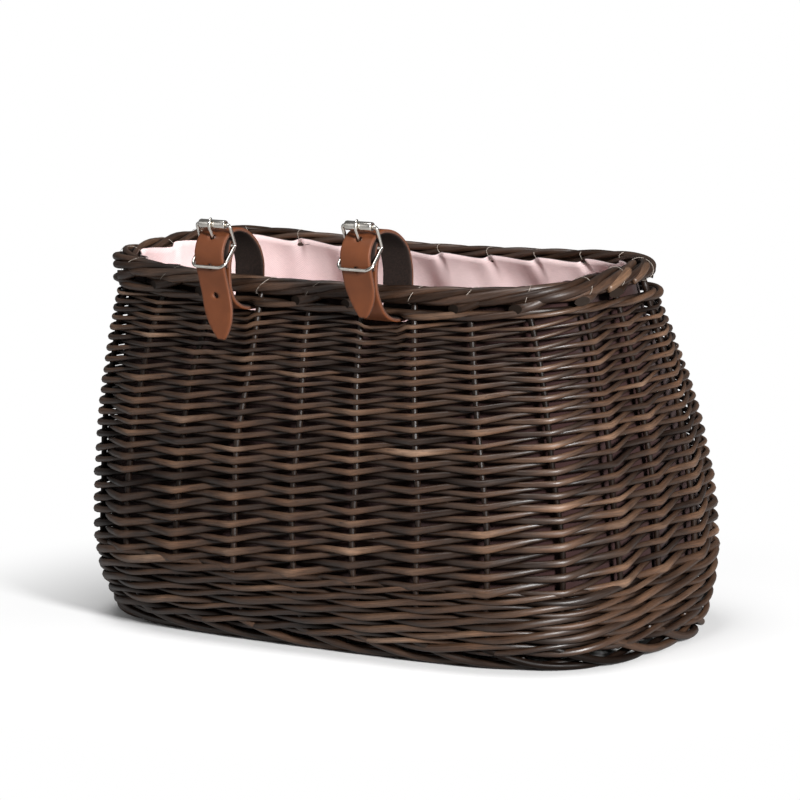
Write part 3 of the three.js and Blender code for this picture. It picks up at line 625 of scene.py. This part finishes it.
def waling(name, heights, radius, rise, replaced):
    piece = Piece()
    strokes = STAKES // 3
    swing = STAKE_RADIUS + radius * 0.85
    for number, height in enumerate(heights):
        for rod in range(3):
            shade = drawn(0.47, 0.12, count=strokes)
            thick = drawn(1.0, 0.13, 0.72, 1.2, strokes)
            start = STAKES / 2 + rod + number % 3
            stake = start + np.arange(STAKES * WALE_PER_STAKE) / WALE_PER_STAKE
            share = (stake - rod - number) / 3
            turn = 2 * math.pi * share
            stroke = np.floor(share + 1e-9).astype(int) % strokes
            forward = -np.cos(turn)
            out = swing * (forward + 0.25 * (1 - forward**2))
            z = height + drift(stake, height) - rise * np.sin(turn) * (0.75 + 0.25 * forward)
            # The rod's own tone, plus painted shade where it passes behind a stake and painted light
            # where it passes in front
            tone_and_painted_shade = np.clip(shade[stroke] + PAINTED_DEPTH_SHADE * forward, 0, 1)
            swell = thick[stroke] * (0.88 + 0.14 * forward)
            if height > RANDING_TOP:
                beside = beside_strap(stake, height)
                out = out * (1 - FLATTER * beside) - PUSHED_IN * beside
                z = z + PUSHED_UP * beside
                swell = swell * (1 - THINNER * beside)
            piece.tube(wall(stake, z, out), radius * swell, UP, tone_and_painted_shade, sides=10, ring=True)
    finish_piece(piece.object(name), "basket", "willow", replaced)


wale_heights = [WALE_BOTTOM + WALE_PITCH * (i + 0.5) for i in range(WALE_ROUNDS)]
waling("upsett_waling", wale_heights, WALE_RADIUS, WALE_RISE, ["upsett_wale"])
randing("side_randing_lower", -1, LOWER_ROWS, ["side_weave_lower"])
randing("side_randing_upper", LOWER_ROWS, UPPER_ROWS, ["side_weave_upper"])
randing("side_randing_top", UPPER_ROWS, TOP_ROWS)
waling("top_waling", [TOP_WALE_Z], TOP_WALE_RADIUS, TOP_WALE_RISE, ["top_wale"])


def stakes():
    z = np.linspace(STAKE_FOOT, MOUTH_Z - 0.002, 40)
    for number in range(STAKES):
        piece = Piece()
        lean = 0.0006 * np.sin(z * 70 + number * 2.1)
        path = wall(number + 0.02 * np.sin(z * 50 + number), z, lean)
        radius = STAKE_RADIUS * (1 + 0.06 * np.sin(z * 300 + number))
        piece.tube(path, radius, outward(number, 0.1), drawn(0.25, 0.10), sides=10)
        label = f"stake_{number + 1:02d}"
        finish_piece(piece.object("side_" + label), "basket", "willow", [label])


stakes()

# Rolled border: the bent stakes, laid as a rope of five thick rods that is flatter than it is wide

BORDER_GROUPS = {1: [0, 3], 2: [1], 3: [2, 4]}
BORDER_RODS = 5
BORDER_TURNS = 6
BORDER_PER_STAKE = 12
BORDER_THICK = 0.0028
BORDER_THIN = 0.0021
BORDER_WIDE = 0.0088
BORDER_CORE = 0.0040
NEAR_Y, FAR_Y = -0.066, 0.093
BORDER_HIGH = (0.0060, 0.0070)
BORDER_RAISED = (-0.0006, 0.0045)


def near_to_far(stake, values):
    """A value that changes evenly from the near side of the mouth to the far one."""
    return np.interp(middle(stake, MOUTH_Z)[..., 1], (NEAR_Y, FAR_Y), values)


def border_point(stake, turn, wide, inset=0.0):
    high = near_to_far(stake, BORDER_HIGH) - inset
    z = MOUTH_Z + near_to_far(stake, BORDER_RAISED) + high * np.sin(turn)
    return wall(stake, z, wide * np.cos(turn))


def border_outward(stake, turn):
    return outward(stake, MOUTH_Z) * np.cos(turn)[:, None] + UP * np.sin(turn)[:, None]


def border():
    stake = np.arange(STAKES * BORDER_PER_STAKE) / BORDER_PER_STAKE
    for group, rods in BORDER_GROUPS.items():
        piece = Piece()
        for index in rods:
            lay = BORDER_TURNS * stake / STAKES + index / BORDER_RODS
            turn = 2 * math.pi * lay
            shade = drawn(0.50, 0.15, count=BORDER_TURNS)
            thick = random.normal(1.0, 0.08, BORDER_TURNS)
            stroke = np.floor(lay + 0.40).astype(int) % BORDER_TURNS
            swell = np.interp(lay % BORDER_TURNS, np.arange(BORDER_TURNS + 1), np.append(thick, thick[0]))
            outside = 0.5 + 0.5 * np.cos(turn + 0.35)
            radius = (BORDER_THIN + (BORDER_THICK - BORDER_THIN) * outside) * swell
            bend = 0.0004 * np.sin(stake * 2.3 + index)
            path = border_point(stake, turn, BORDER_WIDE - radius + bend, radius - bend)
            piece.tube(path, radius, border_outward(stake, turn), shade[stroke], sides=12, ring=True)
        if group == 1:
            piece.tube(border_point(stake, 0, 0), BORDER_CORE, UP, 0.05, ring=True)
        made = piece.object(f"rolled_border_{group}")
        finish_piece(made, "basket", "willow_border", [f"border_rod_{group}"])


border()

# The slanted cut ends that are tucked under the border, as (stakes along, up, outwards)
BUTT_PATH = [(0, 0, 0.0058), (0.16, 0.0010, 0.0050), (0.34, 0.0030, 0.0034), (0.55, 0.0062, 0.0010)]
NO_BUTT_END = (1, 6, STAKES - 2)


def butt_ends():
    piece = Piece()
    for number in range(STAKES):
        if number in NO_BUTT_END:
            continue
        at = number + 0.80 + random.uniform(-0.06, 0.06)
        radius = random.uniform(0.0029, 0.0033)
        low = MOUTH_Z - 0.0072 + random.uniform(-0.0006, 0.0006) + float(near_to_far(at, BORDER_RAISED))
        path = smooth_path([wall(at + along, low + rise, out) for along, rise, out in BUTT_PATH], 4)
        path = np.delete(path, (1, 2, 3), axis=0)
        face = 0.50 * unit(path[0] - path[1]) + outward(at, MOUTH_Z)
        piece.tube(path, radius, UP, random.uniform(0.1, 0.5), sides=16, cuts=(face, None))
    finish_piece(piece.object("border_butt_ends"), "basket", "willow_border")


butt_ends()


def corner_ends():
    """Ends of thick rods that stand out of the border at the right corner."""
    piece = Piece()
    for at, length, radius, shade in ((5.55, 0.70, 0.0030, 0.95), (6.35, 0.55, 0.0026, 0.8)):
        share = np.linspace(0, 1, 12)
        turn = np.radians(-38 + 78 * share)
        reach = BORDER_WIDE - 0.0012 + 0.0018 * share**3
        path = border_point(at + length * share, turn, reach, 0.001)
        path[-1] += 0.0006 * UP
        radii = radius * np.interp(share, [0, 0.9, 1], [0.9, 1.0, 0.86])
        piece.tube(path, radii, UP, shade, sides=16)
    finish_piece(piece.object("border_corner_ends"), "basket", "willow_border")


corner_ends()

# Foot: one rod from each stake, laid down and along the bottom edge. The path is as (stakes along,
# up, outwards), and from the fifth point on up is counted from a rod that lies on the ground.
FOOT_DOWN = [
    (-0.25, 0.0190, -0.0015),
    (0.05, 0.0138, 0.0020),
    (0.40, 0.0080, 0.0036),
    (0.78, 0.0042, 0.0034),
]
FOOT_ALONG = [
    (1.30, 0, 0.0016),
    (1.75, 0, -0.0022),
    (2.10, 0.0020, -0.0042),
    (2.50, 0.0050, -0.0040),
]


def foot():
    piece = Piece()
    for number in range(STAKES):
        radius = random.uniform(0.0026, 0.0030)
        low = radius + 0.0002
        path = smooth_path([
            *[wall(number + along, up, out) for along, up, out in FOOT_DOWN],
            *[wall(number + along, low + up, out) for along, up, out in FOOT_ALONG],
        ], 5)
        piece.tube(path, radius * np.linspace(1.0, 0.8, len(path)), UP, drawn(0.5, 0.2), sides=12)
    finish_piece(piece.object("foot_rods"), "basket", "willow", ["foot_border"])


foot()

# Base: rods woven over and under the cross sticks

STICK_PITCH = 0.062
BASE_ROWS = 39
BASE_ROD = 0.0022
BASE_WAVE = 0.0018


def base():
    piece = Piece()
    ring = wall(np.linspace(0, STAKES, 400, endpoint=False), 0.0155, -0.004)
    near, far = ring[:, 1].min() + 0.002, ring[:, 1].max() - 0.002
    pitch = (far - near) / BASE_ROWS
    right = ring[np.argsort(ring[:, 1])]
    right = right[right[:, 0] > 0]
    for row in range(BASE_ROWS):
        y = near + pitch * (row + 0.5)
        reach = np.interp(y, right[:, 1], right[:, 0]) - 0.0015
        x = np.linspace(-reach, reach, 88)
        z = BASE_MIDDLE_Z + BASE_WAVE * np.cos(math.pi * (x / STICK_PITCH + row))
        radius = pitch * 0.46 * drawn(1.0, 0.06, 0.85, 1.05)
        path = joined(x, y + 0.0004 * np.sin(x * 60 + row), z)
        piece.tube(path, min(radius, BASE_ROD), UP, drawn(0.4, 0.2))
    finish_piece(piece.object("base_weave"), "basket", "willow", ["base_panel"])


base()

# Lining: a gathered cotton bag, sewn to the border at every stake

LINING_EDGE = 0.2450
LINING_TILT = 0.55
LINING_SAG = 0.0026
LINING_BOTTOM = 0.0205
LINING_IN = 0.0065
RIM_IN = 0.0032
LINING_DROP = 0.235
LINING_BOTTOM_RUN = 0.12
LINING_PER_STAKE = 26
LINING_LEVELS = 46
BOTTOM_LEVELS = 26
GATHERS = [(1.0, 0.3), (0.5, 2.0)]
DIP_Z = 0.2226
DIP_HALF_WIDTH = 0.0152
DIP_SOFTNESS = 0.0007
CLOTH_THICKNESS = 0.0009


def lining():
    """Its edge dips under the straps, which go over the border there."""
    stake = np.arange(STAKES * LINING_PER_STAKE) / LINING_PER_STAKE
    past_pinch = stake - np.floor(stake + 1e-9)
    soft_sag = 0.5 - 0.5 * np.cos(math.pi * np.interp(past_pinch, (0, 0.20, 1), (1, 0, 1)))
    edge = LINING_EDGE + LINING_TILT * near_to_far(stake, BORDER_RAISED) - LINING_SAG * (1 - soft_sag)
    dip = 1 / (1 + np.exp((strap_gap(stake, DIP_Z) - DIP_HALF_WIDTH) / DIP_SOFTNESS))
    edge = edge * (1 - dip) + DIP_Z * dip
    share = np.linspace(0, 1, LINING_LEVELS) ** 1.05
    rings = []
    for v in share:
        z = edge * (1 - v) + LINING_BOTTOM * v
        loose = np.clip(v / 0.12, 0, 1) ** 0.8
        fold = np.zeros_like(stake)
        for rate, shift in GATHERS:
            wave = np.sin(2 * math.pi * rate * (stake + 0.22 * v) + shift + 3 * v)
            fold += (0.5 + 0.5 * wave) ** 1.6 / rate
        depth = (0.0006 + 0.0024 * loose * (0.35 + 0.65 * (1 - v))) * fold
        pinch = 0.0030 * np.exp(-((past_pinch - 0.06) / 0.09) ** 2) * np.exp(-v / 0.03)
        rim = np.clip(1 - v / 0.07, 0, 1) ** 2 * (1 - dip)
        rings.append(wall(stake, z, -LINING_IN - RIM_IN * rim - depth + pinch))
    last = rings[-1]
    inwards = np.arange(1, BOTTOM_LEVELS) / BOTTOM_LEVELS
    for v in inwards:
        ring = last + (last.mean(0) - last) * v
        wave = 0.5 + 0.5 * np.sin(42 * ring[:, 0] + 45 * ring[:, 1])
        rings.append(joined(ring[:, 0], ring[:, 1], LINING_BOTTOM - 0.0002 + 0.0022 * wave * v))
    grid = np.array(rings)
    rows, count = grid.shape[:2]
    level = np.concatenate([share * LINING_DROP, LINING_DROP + inwards * LINING_BOTTOM_RUN])
    grain = joined(stake / STAKES * MOUTH_LENGTH, level[:, None], 0.0)
    piece = Piece()
    first = piece.add_points(grid, 0.5, grain, 0)
    piece.quads.append(first + grid_quads(rows, count, False)[:, [0, 3, 2, 1]])
    hub = piece.add_points(grid[-1].mean(0), 0.5, grain[-1, 0], 0)
    ring = first + (rows - 1) * count + np.arange(count)
    piece.add_triangles(joined(hub, ring, np.roll(ring, -1)))
    made = piece.object("cotton_lining")
    thicken = made.modifiers.new("thickness", "SOLIDIFY")
    thicken.thickness = CLOTH_THICKNESS
    thicken.offset = 0
    bake(made)
    # The mark selects the outer side for its painted shade
    mark_painted_shade_side(made.data)
    finish_piece(made, "basket", "lining", ["lining"])


def mark_painted_shade_side(mesh):
    """Marks the cloth's outer side, which gets painted shade, and which the thickness has made as one
    half of the points.
    """
    place = np.empty(3 * len(mesh.vertices), np.float32)
    mesh.vertices.foreach_get("co", place)
    first, second = np.split(place[::3], 2)
    mark = np.zeros((2, len(first)), np.float32)
    mark[int(second.max() > first.max())] = 1
    mesh.attributes["mark"].data.foreach_set("value", mark.ravel())


def bake(made):
    """Applies the piece's modifiers."""
    graph = bpy.context.evaluated_depsgraph_get()
    mesh = bpy.data.meshes.new_from_object(made.evaluated_get(graph), depsgraph=graph)
    made.modifiers.clear()
    made.data = mesh


lining()

# Thread that sews the lining to the border

THREAD_RADIUS = 0.00015
THREAD_SUNK = 0.0004
KNOT_SIZE = 0.0004


def threads():
    piece = Piece()
    turn = np.linspace(0, 2 * math.pi, 33)[:-1]
    curl = np.linspace(0, 4 * math.pi, 26)
    for number in range(STAKES):
        lean = 0.10 + random.uniform(-0.03, 0.03)
        stake = number + 0.05 + lean * np.sin(turn)
        path = border_point(stake, turn, BORDER_WIDE - THREAD_SUNK, THREAD_SUNK)
        piece.tube(path, THREAD_RADIUS, border_outward(stake, turn), sides=6, ring=True)
        knot = border_point(number + 0.05, math.pi + 0.15, BORDER_WIDE - 0.0002)
        loops = KNOT_SIZE * joined(np.cos(curl), np.sin(curl), 0.8 * np.sin(curl * 1.5 + number))
        piece.tube(knot + loops, THREAD_RADIUS * 1.2, (0.3, 0.5, 0.8), sides=6)
    finish_piece(piece.object("sewing_thread"), "basket", "lining", material=thread_material)


threads()

# Straps and buckles. Side views are (y, z) from the middle of the border at the strap.

STRAP_WIDTH = 0.0228
STRAP_THICKNESS = 0.0028
BAR_RADIUS = 0.0014
WIRE_RADIUS = 0.0012
CLEARANCE = 0.0003
FOLD_RADIUS = BAR_RADIUS + CLEARANCE + STRAP_THICKNESS / 2
ROLLER_RADIUS = 0.0031
ROLLER_LENGTH = 0.0208
ROLLER_UP = 0.014
BUCKLE_CENTRE = np.array([-0.0265, 0.0335])
TIGHTENED = np.array([0.0035, -0.006])
TOP_BAR = (-0.0056, ROLLER_UP)
BOTTOM_BAR = (-0.013, -0.0135)
LOWER_BEND = 0.0052
UPPER_BEND = 0.0022
BAR_KINK = 0.00112
PRONG_RADIUS = 0.0011
PRONG_TIP = (0.95, 0.88, 0.78, 0.62)
HOLE_PITCH = 0.020
HOLE_RADIUS = 0.0021
TIP_LENGTH = 0.024
TIP_WIDTH = 0.0056
STRAP_RUN = 0.0115
FLAP_LENGTH = 0.0145
LINE_STEPS = 24
# The bevels are (how far in, share of the half thickness)
EDGE_BEVEL = [(0.0, 0.55), (0.00025, 0.85), (0.0007, 1.0)]
HOLE_BEVEL = [(0.0, 0.8), (0.0003, 1.0)]
MESH_STEP = 0.001
EDGE_ROOM = 0.0016
HOLE_ROOM = 0.0009
ANCHOR_Y, ANCHOR_Z = -0.099764, 0.241717
SIDES = {
    "left": {"x": -STRAP_X, "tighter": 1, "tail": 0.049, "lean": 0.0045},
    "right": {"x": STRAP_X, "tighter": 0, "tail": 0.032, "lean": 0.0015},
}


def buckle_bars(tighter):
    """The middles of the centre bar, the top bar and the bottom bar."""
    centre = BUCKLE_CENTRE + TIGHTENED * tighter
    return centre, centre + TOP_BAR, centre + BOTTOM_BAR


def strap_line(tighter, tail_length):
    centre, _, bottom = buckle_bars(tighter)

    def by_fold(out, up):
        return centre + FOLD_RADIUS * np.array([out, up])

    def by_border(out, up):
        return STRAP_RUN * np.array([out, up])

    def by_roller(out, up):
        return centre + ROLLER_UP * np.array([out, up])

    behind = bottom[0] + BAR_RADIUS + 3 * CLEARANCE + STRAP_THICKNESS / 2
    flap_gap = STRAP_THICKNESS + CLEARANCE
    points = [
        by_fold(-0.87, 0) - (flap_gap, FLAP_LENGTH),
        by_fold(-0.55, 0) - (flap_gap, FLAP_LENGTH / 2),
        *[by_fold(math.cos(a), math.sin(a)) for a in np.radians([180, 135, 90, 45, 0])],
        by_fold(-0.45, -2.7),
        by_fold(-0.87, -5.2),
        by_fold(-0.58, -9.4),
        by_border(-1.78, -0.83),
        by_border(-1.04, -1.27),
        by_border(-0.17, -1.41),
        by_border(0.72, -1.3),
        by_border(1, -0.78),
        by_border(1, 0.35),
        (STRAP_RUN, centre[1] * 0.46),
        (STRAP_RUN * 0.6, centre[1] - ROLLER_UP * 0.27),
        (centre[0] * 0.12, centre[1] + ROLLER_UP * 0.37),
        (centre[0] * 0.51, centre[1] + ROLLER_UP * 0.64),
        by_roller(0.26, 0.68),
        by_roller(-0.23, 0.5),
        by_roller(-0.61, 0.09),
        by_roller(-0.76, -0.39),
        (behind, bottom[1]),
        (behind + 0.0025, bottom[1] - 0.010),
        (behind + 0.0045, bottom[1] - 0.020),
        (behind + 0.005, bottom[1] - tail_length),
    ]
    return smooth_path(points, LINE_STEPS)


def prong_shank(centre, top):
    """The prong's distances from the centre bar and the top bar, its direction and its front."""
    eye = WIRE_RADIUS + CLEARANCE + PRONG_RADIUS
    hook = ROLLER_RADIUS + CLEARANCE + PRONG_RADIUS
    to_top = top - centre
    lean = math.asin((hook - eye) / np.linalg.norm(to_top))
    turn = math.atan2(to_top[1], to_top[0]) + lean
    along = np.array([math.cos(turn), math.sin(turn)])
    return eye, hook, along, np.array([-along[1], along[0]])


def loop_offsets(outline, inset):
    """The closed outline moved inwards (anticlockwise outline) by inset."""
    ahead = unit(np.roll(outline, -1, 0) - outline)
    behind = unit(outline - np.roll(outline, 1, 0))
    mean = unit(ahead + behind)
    normal = joined(-mean[:, 1], mean[:, 0])
    spread = np.clip(np.sum(mean * ahead, axis=1), 0.5, 1)
    return outline + normal * (inset / spread)[:, None]


def inside(loop, x, y):
    """Whether a point lies inside a closed loop."""
    x0, y0 = loop[:, 0], loop[:, 1]
    x1, y1 = np.roll(x0, -1), np.roll(y0, -1)
    crosses = (y0 > y) != (y1 > y)
    slope = np.where(crosses, (x1 - x0) / np.where(crosses, y1 - y0, 1), 0)
    return bool(np.sum(crosses & (x < x0 + (y - y0) * slope)) % 2)


def strap_holes(at, prong_hole):
    """The punched holes and the slot in the fold, as loops on the flat strap."""
    turn = np.linspace(0, 2 * math.pi, 25)[:-1]
    holes = [
        joined(place + HOLE_RADIUS * np.cos(turn), HOLE_RADIUS * np.sin(turn))
        for place in prong_hole + HOLE_PITCH * np.arange(-1, 3)
        if place <= at[-1] - TIP_LENGTH - HOLE_RADIUS
    ]
    fold_from, fold_to = at[2 * LINE_STEPS] - 0.0035, at[6 * LINE_STEPS] + 0.0045
    half = PRONG_RADIUS + 2 * CLEARANCE
    turn = np.linspace(-math.pi / 2, math.pi / 2, 9)
    c, s = half * np.cos(turn), half * np.sin(turn)
    inner = np.linspace(fold_from, fold_to, 22)[1:-1]
    slot = np.vstack([
        joined(fold_to + c, s),
        joined(inner[::-1], half),
        joined(fold_from - c, -s),
        joined(inner, -half),
    ])
    return [*holes, slot]


def flat_strap(length, holes):
    """The flat strap's points, their share of the half thickness, and its triangles."""
    half = STRAP_WIDTH / 2
    shoulder = length - TIP_LENGTH
    tip = np.linspace(0, 1, 9)[:, None]
    corner, bend, end = np.array([
        (shoulder, half),
        (length - TIP_LENGTH * 0.45, half),
        (length, TIP_WIDTH / 2),
    ])
    curve = (1 - tip) ** 2 * corner + 2 * tip * (1 - tip) * bend + tip**2 * end
    lower_edge = joined(np.arange(0, shoulder - 0.0005, MESH_STEP), -half)
    across = np.linspace(-half, half, 14)[1:-1]
    outline = np.vstack([
        lower_edge,
        curve * (1, -1),
        joined(length, [-TIP_WIDTH / 6, TIP_WIDTH / 6]),
        curve[::-1],
        lower_edge[::-1] * (1, -1),
        joined(0.0, across[::-1]),
    ])
    loops = [(loop_offsets(outline, inset), height) for inset, height in EDGE_BEVEL]
    loops += [(loop_offsets(hole, -inset), height) for hole in holes for inset, height in HOLE_BEVEL]
    points, edges, level = [], [], []
    for loop, height in loops:
        first = len(points)
        points.extend(loop.tolist())
        level.extend([height] * len(loop))
        edges.extend([(first + i, first + (i + 1) % len(loop)) for i in range(len(loop))])
    for u in np.arange(0.0015, length - MESH_STEP, MESH_STEP):
        limit = np.interp(u, curve[:, 0], curve[:, 1], left=half) - EDGE_ROOM
        for v in np.linspace(-half + 0.0019, half - 0.0019, 9):
            clear = all(
                np.min(np.hypot(hole[:, 0] - u, hole[:, 1] - v)) > HOLE_ROOM and not inside(hole, u, v)
                for hole in holes
            )
            if abs(v) < limit and clear:
                points.append([u, v])
                level.append(1.0)
    made = delaunay_2d_cdt([Vector(p) for p in points], edges, [], 0, 1e-7)
    points = np.array([tuple(p) for p in made[0]])
    level = np.array(level)[[ids[0] for ids in made[3]]]
    triangles = np.array(made[2])
    keep = [
        inside(outline, *centre) and not any(inside(hole, *centre) for hole in holes)
        for centre in points[triangles].mean(1)
    ]
    triangles = triangles[np.array(keep)]
    a, b, c = (points[triangles[:, i]] for i in range(3))
    turned = np.cross(b - a, c - a) < 0
    triangles[turned] = triangles[turned][:, ::-1]
    return points, level, triangles


def strap(side, facts, anchor):
    line = strap_line(facts["tighter"], facts["tail"])
    at = run_length(line)
    length = at[-1]
    tangent = unit(np.gradient(line, axis=0))
    centre, top_bar, _ = buckle_bars(facts["tighter"])
    eye, _, along, front = prong_shank(centre, top_bar)
    gap = line - (centre + eye * front)
    on_tail = (gap @ along > 0) & (at > 0.6 * length)
    prong_hole = at[np.argmin(np.where(on_tail, np.abs(gap @ front), 1))]
    points, level, triangles = flat_strap(length, strap_holes(at, prong_hole))

    def place(lift):
        """The flat strap's points on the strap's line, lifted off it."""
        u, v = points.T
        y, z, ty, tz = (np.interp(u, at, axis) for axis in (*line.T, *tangent.T))
        size = np.hypot(ty, tz)
        tail = np.clip((u - length + facts["tail"]) / facts["tail"], 0, 1)
        x = v + facts["lean"] * tail**2 * (2 - tail)
        return joined(x, y - tz / size * lift, z + ty / size * lift) + anchor

    piece = Piece()
    thickness = STRAP_THICKNESS / 2 * level
    grain = np.column_stack([points, np.zeros(len(points))])
    top = piece.add_points(place(thickness), 0.5, grain, 0.0)
    bottom = piece.add_points(place(-thickness), 0.5, grain, 1.0)
    used = dict.fromkeys((a, b) for t in triangles.tolist() for a, b in zip(t, t[1:] + t[:1]))
    start, end = np.array([(a, b) for a, b in used if (b, a) not in used]).T
    piece.add_triangles(top + triangles)
    piece.add_triangles(bottom + triangles[:, ::-1])
    piece.quads.append(joined(top + end, top + start, bottom + start, bottom + end))
    made = piece.object(f"{side}_leather_strap")
    finish_piece(made, f"{side}_strap_body", "leather", [f"{side}_strap"])


def across_path(points, anchor):
    """(x, (y, z)) points from the strap's anchor to the row frame."""
    return np.array([(x, *yz) for x, yz in points]) + anchor


def buckle(side, facts, anchor):
    centre, top, bottom = buckle_bars(facts["tighter"])
    x = STRAP_WIDTH / 2 + 0.0008 + WIRE_RADIUS
    up, down = unit(centre - bottom), unit(centre - top)

    def bend(yz, way, size, turns):
        return [(x - size * (1 - math.sin(a)), yz + way * size * (1 - math.cos(a))) for a in turns]

    right_side = [
        *bend(bottom, up, LOWER_BEND, np.linspace(0, math.pi / 2, 8)),
        *[(x, bottom + (centre - bottom) * share) for share in (0.45, 0.6, 0.75, 0.88)],
        (x, centre - up * BAR_KINK),
        (x, centre),
        (x, centre - down * BAR_KINK),
        *[(x, centre + (top - centre) * share) for share in (0.15, 0.3, 0.5, 0.7, 0.8)],
        *bend(top, down, UPPER_BEND, np.linspace(math.pi / 2, 0, 7)),
    ]
    left_side = [(-at, yz) for at, yz in right_side[::-1]]
    piece = Piece()
    reference = (0, -(top - centre)[1], (top - centre)[0])
    piece.tube(across_path(right_side + left_side, anchor), WIRE_RADIUS, reference, sides=16, ring=True)
    bar = across_path([(-x, centre), (0, centre), (x, centre)], anchor)
    piece.tube(bar, WIRE_RADIUS * 0.99, UP, sides=16)
    made = piece.object(f"{side}_buckle_wire")
    finish_piece(made, f"{side}_buckle", "nickel", [f"{side}_buckle_frame"])

    piece = Piece()
    half = ROLLER_LENGTH / 2
    bore = WIRE_RADIUS + CLEARANCE
    rim = [
        (half, bore),
        (half, ROLLER_RADIUS - 0.0007),
        (half - 0.0002, ROLLER_RADIUS - 0.0002),
        (half - 0.0008, ROLLER_RADIUS),
        (0, ROLLER_RADIUS),
    ]
    other_rim = [(-at, radius) for at, radius in rim]
    lathe(piece, other_rim + rim[-2::-1] + [(0, bore)], anchor + (0, *top), 48)
    made = piece.object(f"{side}_roller_tube")
    finish_piece(made, f"{side}_buckle_roller", "nickel", [f"{side}_roller"])

    eye, hook, _, front = prong_shank(centre, top)
    tangent = math.atan2(front[1], front[0])

    def arc(yz, radius, turn):
        return yz + radius * np.array([math.cos(tangent + turn), math.sin(tangent + turn)])

    path = [arc(centre, eye, turn) for turn in np.linspace(4.4, 0, 30)]
    start, end = path[-1], arc(top, hook + CLEARANCE / 2, 0)
    path += [start + (end - start) * share for share in (0.2, 0.4, 0.6, 0.8)]
    path += [arc(top, hook + CLEARANCE / 2, -turn) for turn in np.linspace(0, 1.6, 12)]
    radius = np.full(len(path), PRONG_RADIUS)
    radius[-len(PRONG_TIP):] *= PRONG_TIP
    piece = Piece()
    piece.tube(across_path([(0, yz) for yz in path], anchor), radius, (1, 0, 0), sides=14)
    made = piece.object(f"{side}_prong_wire")
    finish_piece(made, f"{side}_buckle_prong", "nickel", [f"{side}_prong"])


def lathe(piece, outline, centre, sides):
    """Turns a closed outline of (along x, radius) points round an axis along x through centre."""
    turn = 2 * math.pi * np.arange(sides) / sides
    along, radius = np.array(outline).T[..., None]
    points = joined(along, radius * np.cos(turn), radius * np.sin(turn))
    first = piece.add_points(points + centre, 0.5, points, 0)
    piece.quads.append(first + grid_quads(len(outline), sides, True)[:, ::-1])


for side, facts in SIDES.items():
    anchor = np.array([facts["x"], ANCHOR_Y, ANCHOR_Z])
    strap(side, facts, anchor)
    buckle(side, facts, anchor)
for side in SIDES:
    dress(f"{side}_rivet", "nickel")
for number in range(1, 6):
    dress(f"base_stick_{number}", "willow")

# Camera at the photograph's angle

TARGET = Vector((0.02133, -FRAME_BACK, 0.1587))
DISTANCE = 2.9809
AZIMUTH, ELEVATION, ROLL = (math.radians(a) for a in (34.13, 9.2, -0.74))
LENS = 200.1
back = Vector((
    math.sin(AZIMUTH) * math.cos(ELEVATION),
    -math.cos(AZIMUTH) * math.cos(ELEVATION),
    math.sin(ELEVATION),
))
level_right = Vector((math.cos(AZIMUTH), math.sin(AZIMUTH), 0))
level_up = back.cross(level_right)
right = level_right * math.cos(ROLL) + level_up * math.sin(ROLL)
up = level_up * math.cos(ROLL) - level_right * math.sin(ROLL)
camera_data = bpy.data.cameras.new("camera")
camera_data.lens = LENS
camera_data.sensor_width = 36
camera = bpy.data.objects.new("camera", camera_data)
rotation = Matrix((right, up, back)).transposed().to_4x4()
camera.matrix_world = Matrix.Translation(TARGET + back * DISTANCE) @ rotation
bpy.context.scene.collection.objects.link(camera)
bpy.context.scene.camera = camera

# Light, ground and what is behind. The camera sees plain white, and the basket gets less light.

LAMP_AIM = Vector((0, 0, 0.12))
WORLD_LIGHT = 0.13
GROUND_REACH = 14.0
GROUND_BOUNCE = 0.45
FADE_FROM = 0.17
FADE_TO = 0.40


def lamp(name, place, size, power):
    data = bpy.data.lights.new(name, "AREA")
    data.shape = "DISK"
    data.size = size
    data.energy = power
    made = bpy.data.objects.new(name, data)
    made.location = place
    made.rotation_euler = (LAMP_AIM - Vector(place)).to_track_quat("-Z", "Y").to_euler()
    bpy.context.scene.collection.objects.link(made)


lamp("key", (2.75, -1.45, 1.2), 0.6, 190)
lamp("fill", (-1.4, -1.9, 1.0), 1.8, 6)
lamp("top", (-0.1, -0.6, 2.6), 1.4, 30)


def world():
    tree = Tree(bpy.data.worlds.new("studio"), "Background")
    strength = tree.add("MapRange", {"Value": tree.seen(), "To Min": WORLD_LIGHT, "To Max": 1.0})
    tree.surface({"Color": colour(1), "Strength": strength.outputs["Result"]})
    bpy.context.scene.world = tree.owner


world()


def studio_floor():
    mesh = bpy.data.meshes.new("studio_floor")
    reach = GROUND_REACH
    corners = [(-reach, -reach, 0), (reach, -reach, 0), (reach, reach, 0), (-reach, reach, 0)]
    mesh.from_pydata(corners, [], [(0, 1, 2, 3)])
    made = bpy.data.objects.new("studio_floor", mesh)
    bpy.context.scene.collection.objects.link(made)
    tree = Tree(bpy.data.materials.new("studio_floor"))
    place = tree.place()
    paper = tree.ramp(tree.noise(place, scale=3.0, detail=2), [(0.3, 0.90), (0.7, 0.94)])
    seen = tree.seen()
    tree.surface({"Base Color": tree.mix(seen, GROUND_BOUNCE, paper), "Roughness": 0.9})
    distance = tree.add("VectorMath", {0: place}, operation="LENGTH").outputs["Value"]
    far = tree.add("MapRange", {
        "Value": distance,
        "From Min": FADE_FROM,
        "From Max": FADE_TO,
    }, interpolation_type="SMOOTHSTEP").outputs["Result"]
    white = tree.add("Emission", {"Color": colour(1), "Strength": 1.0}).outputs["Emission"]
    shown = tree.add("MixShader", {
        0: tree.maths("MULTIPLY", seen, far),
        1: tree.shader.outputs["BSDF"],
        2: white,
    })
    tree.set(tree.nodes["Material Output"], "Surface", shown.outputs["Shader"])
    mesh.materials.append(tree.owner)


studio_floor()

scene = bpy.context.scene
scene.view_settings.view_transform = "Standard"
bpy.context.view_layer.update()
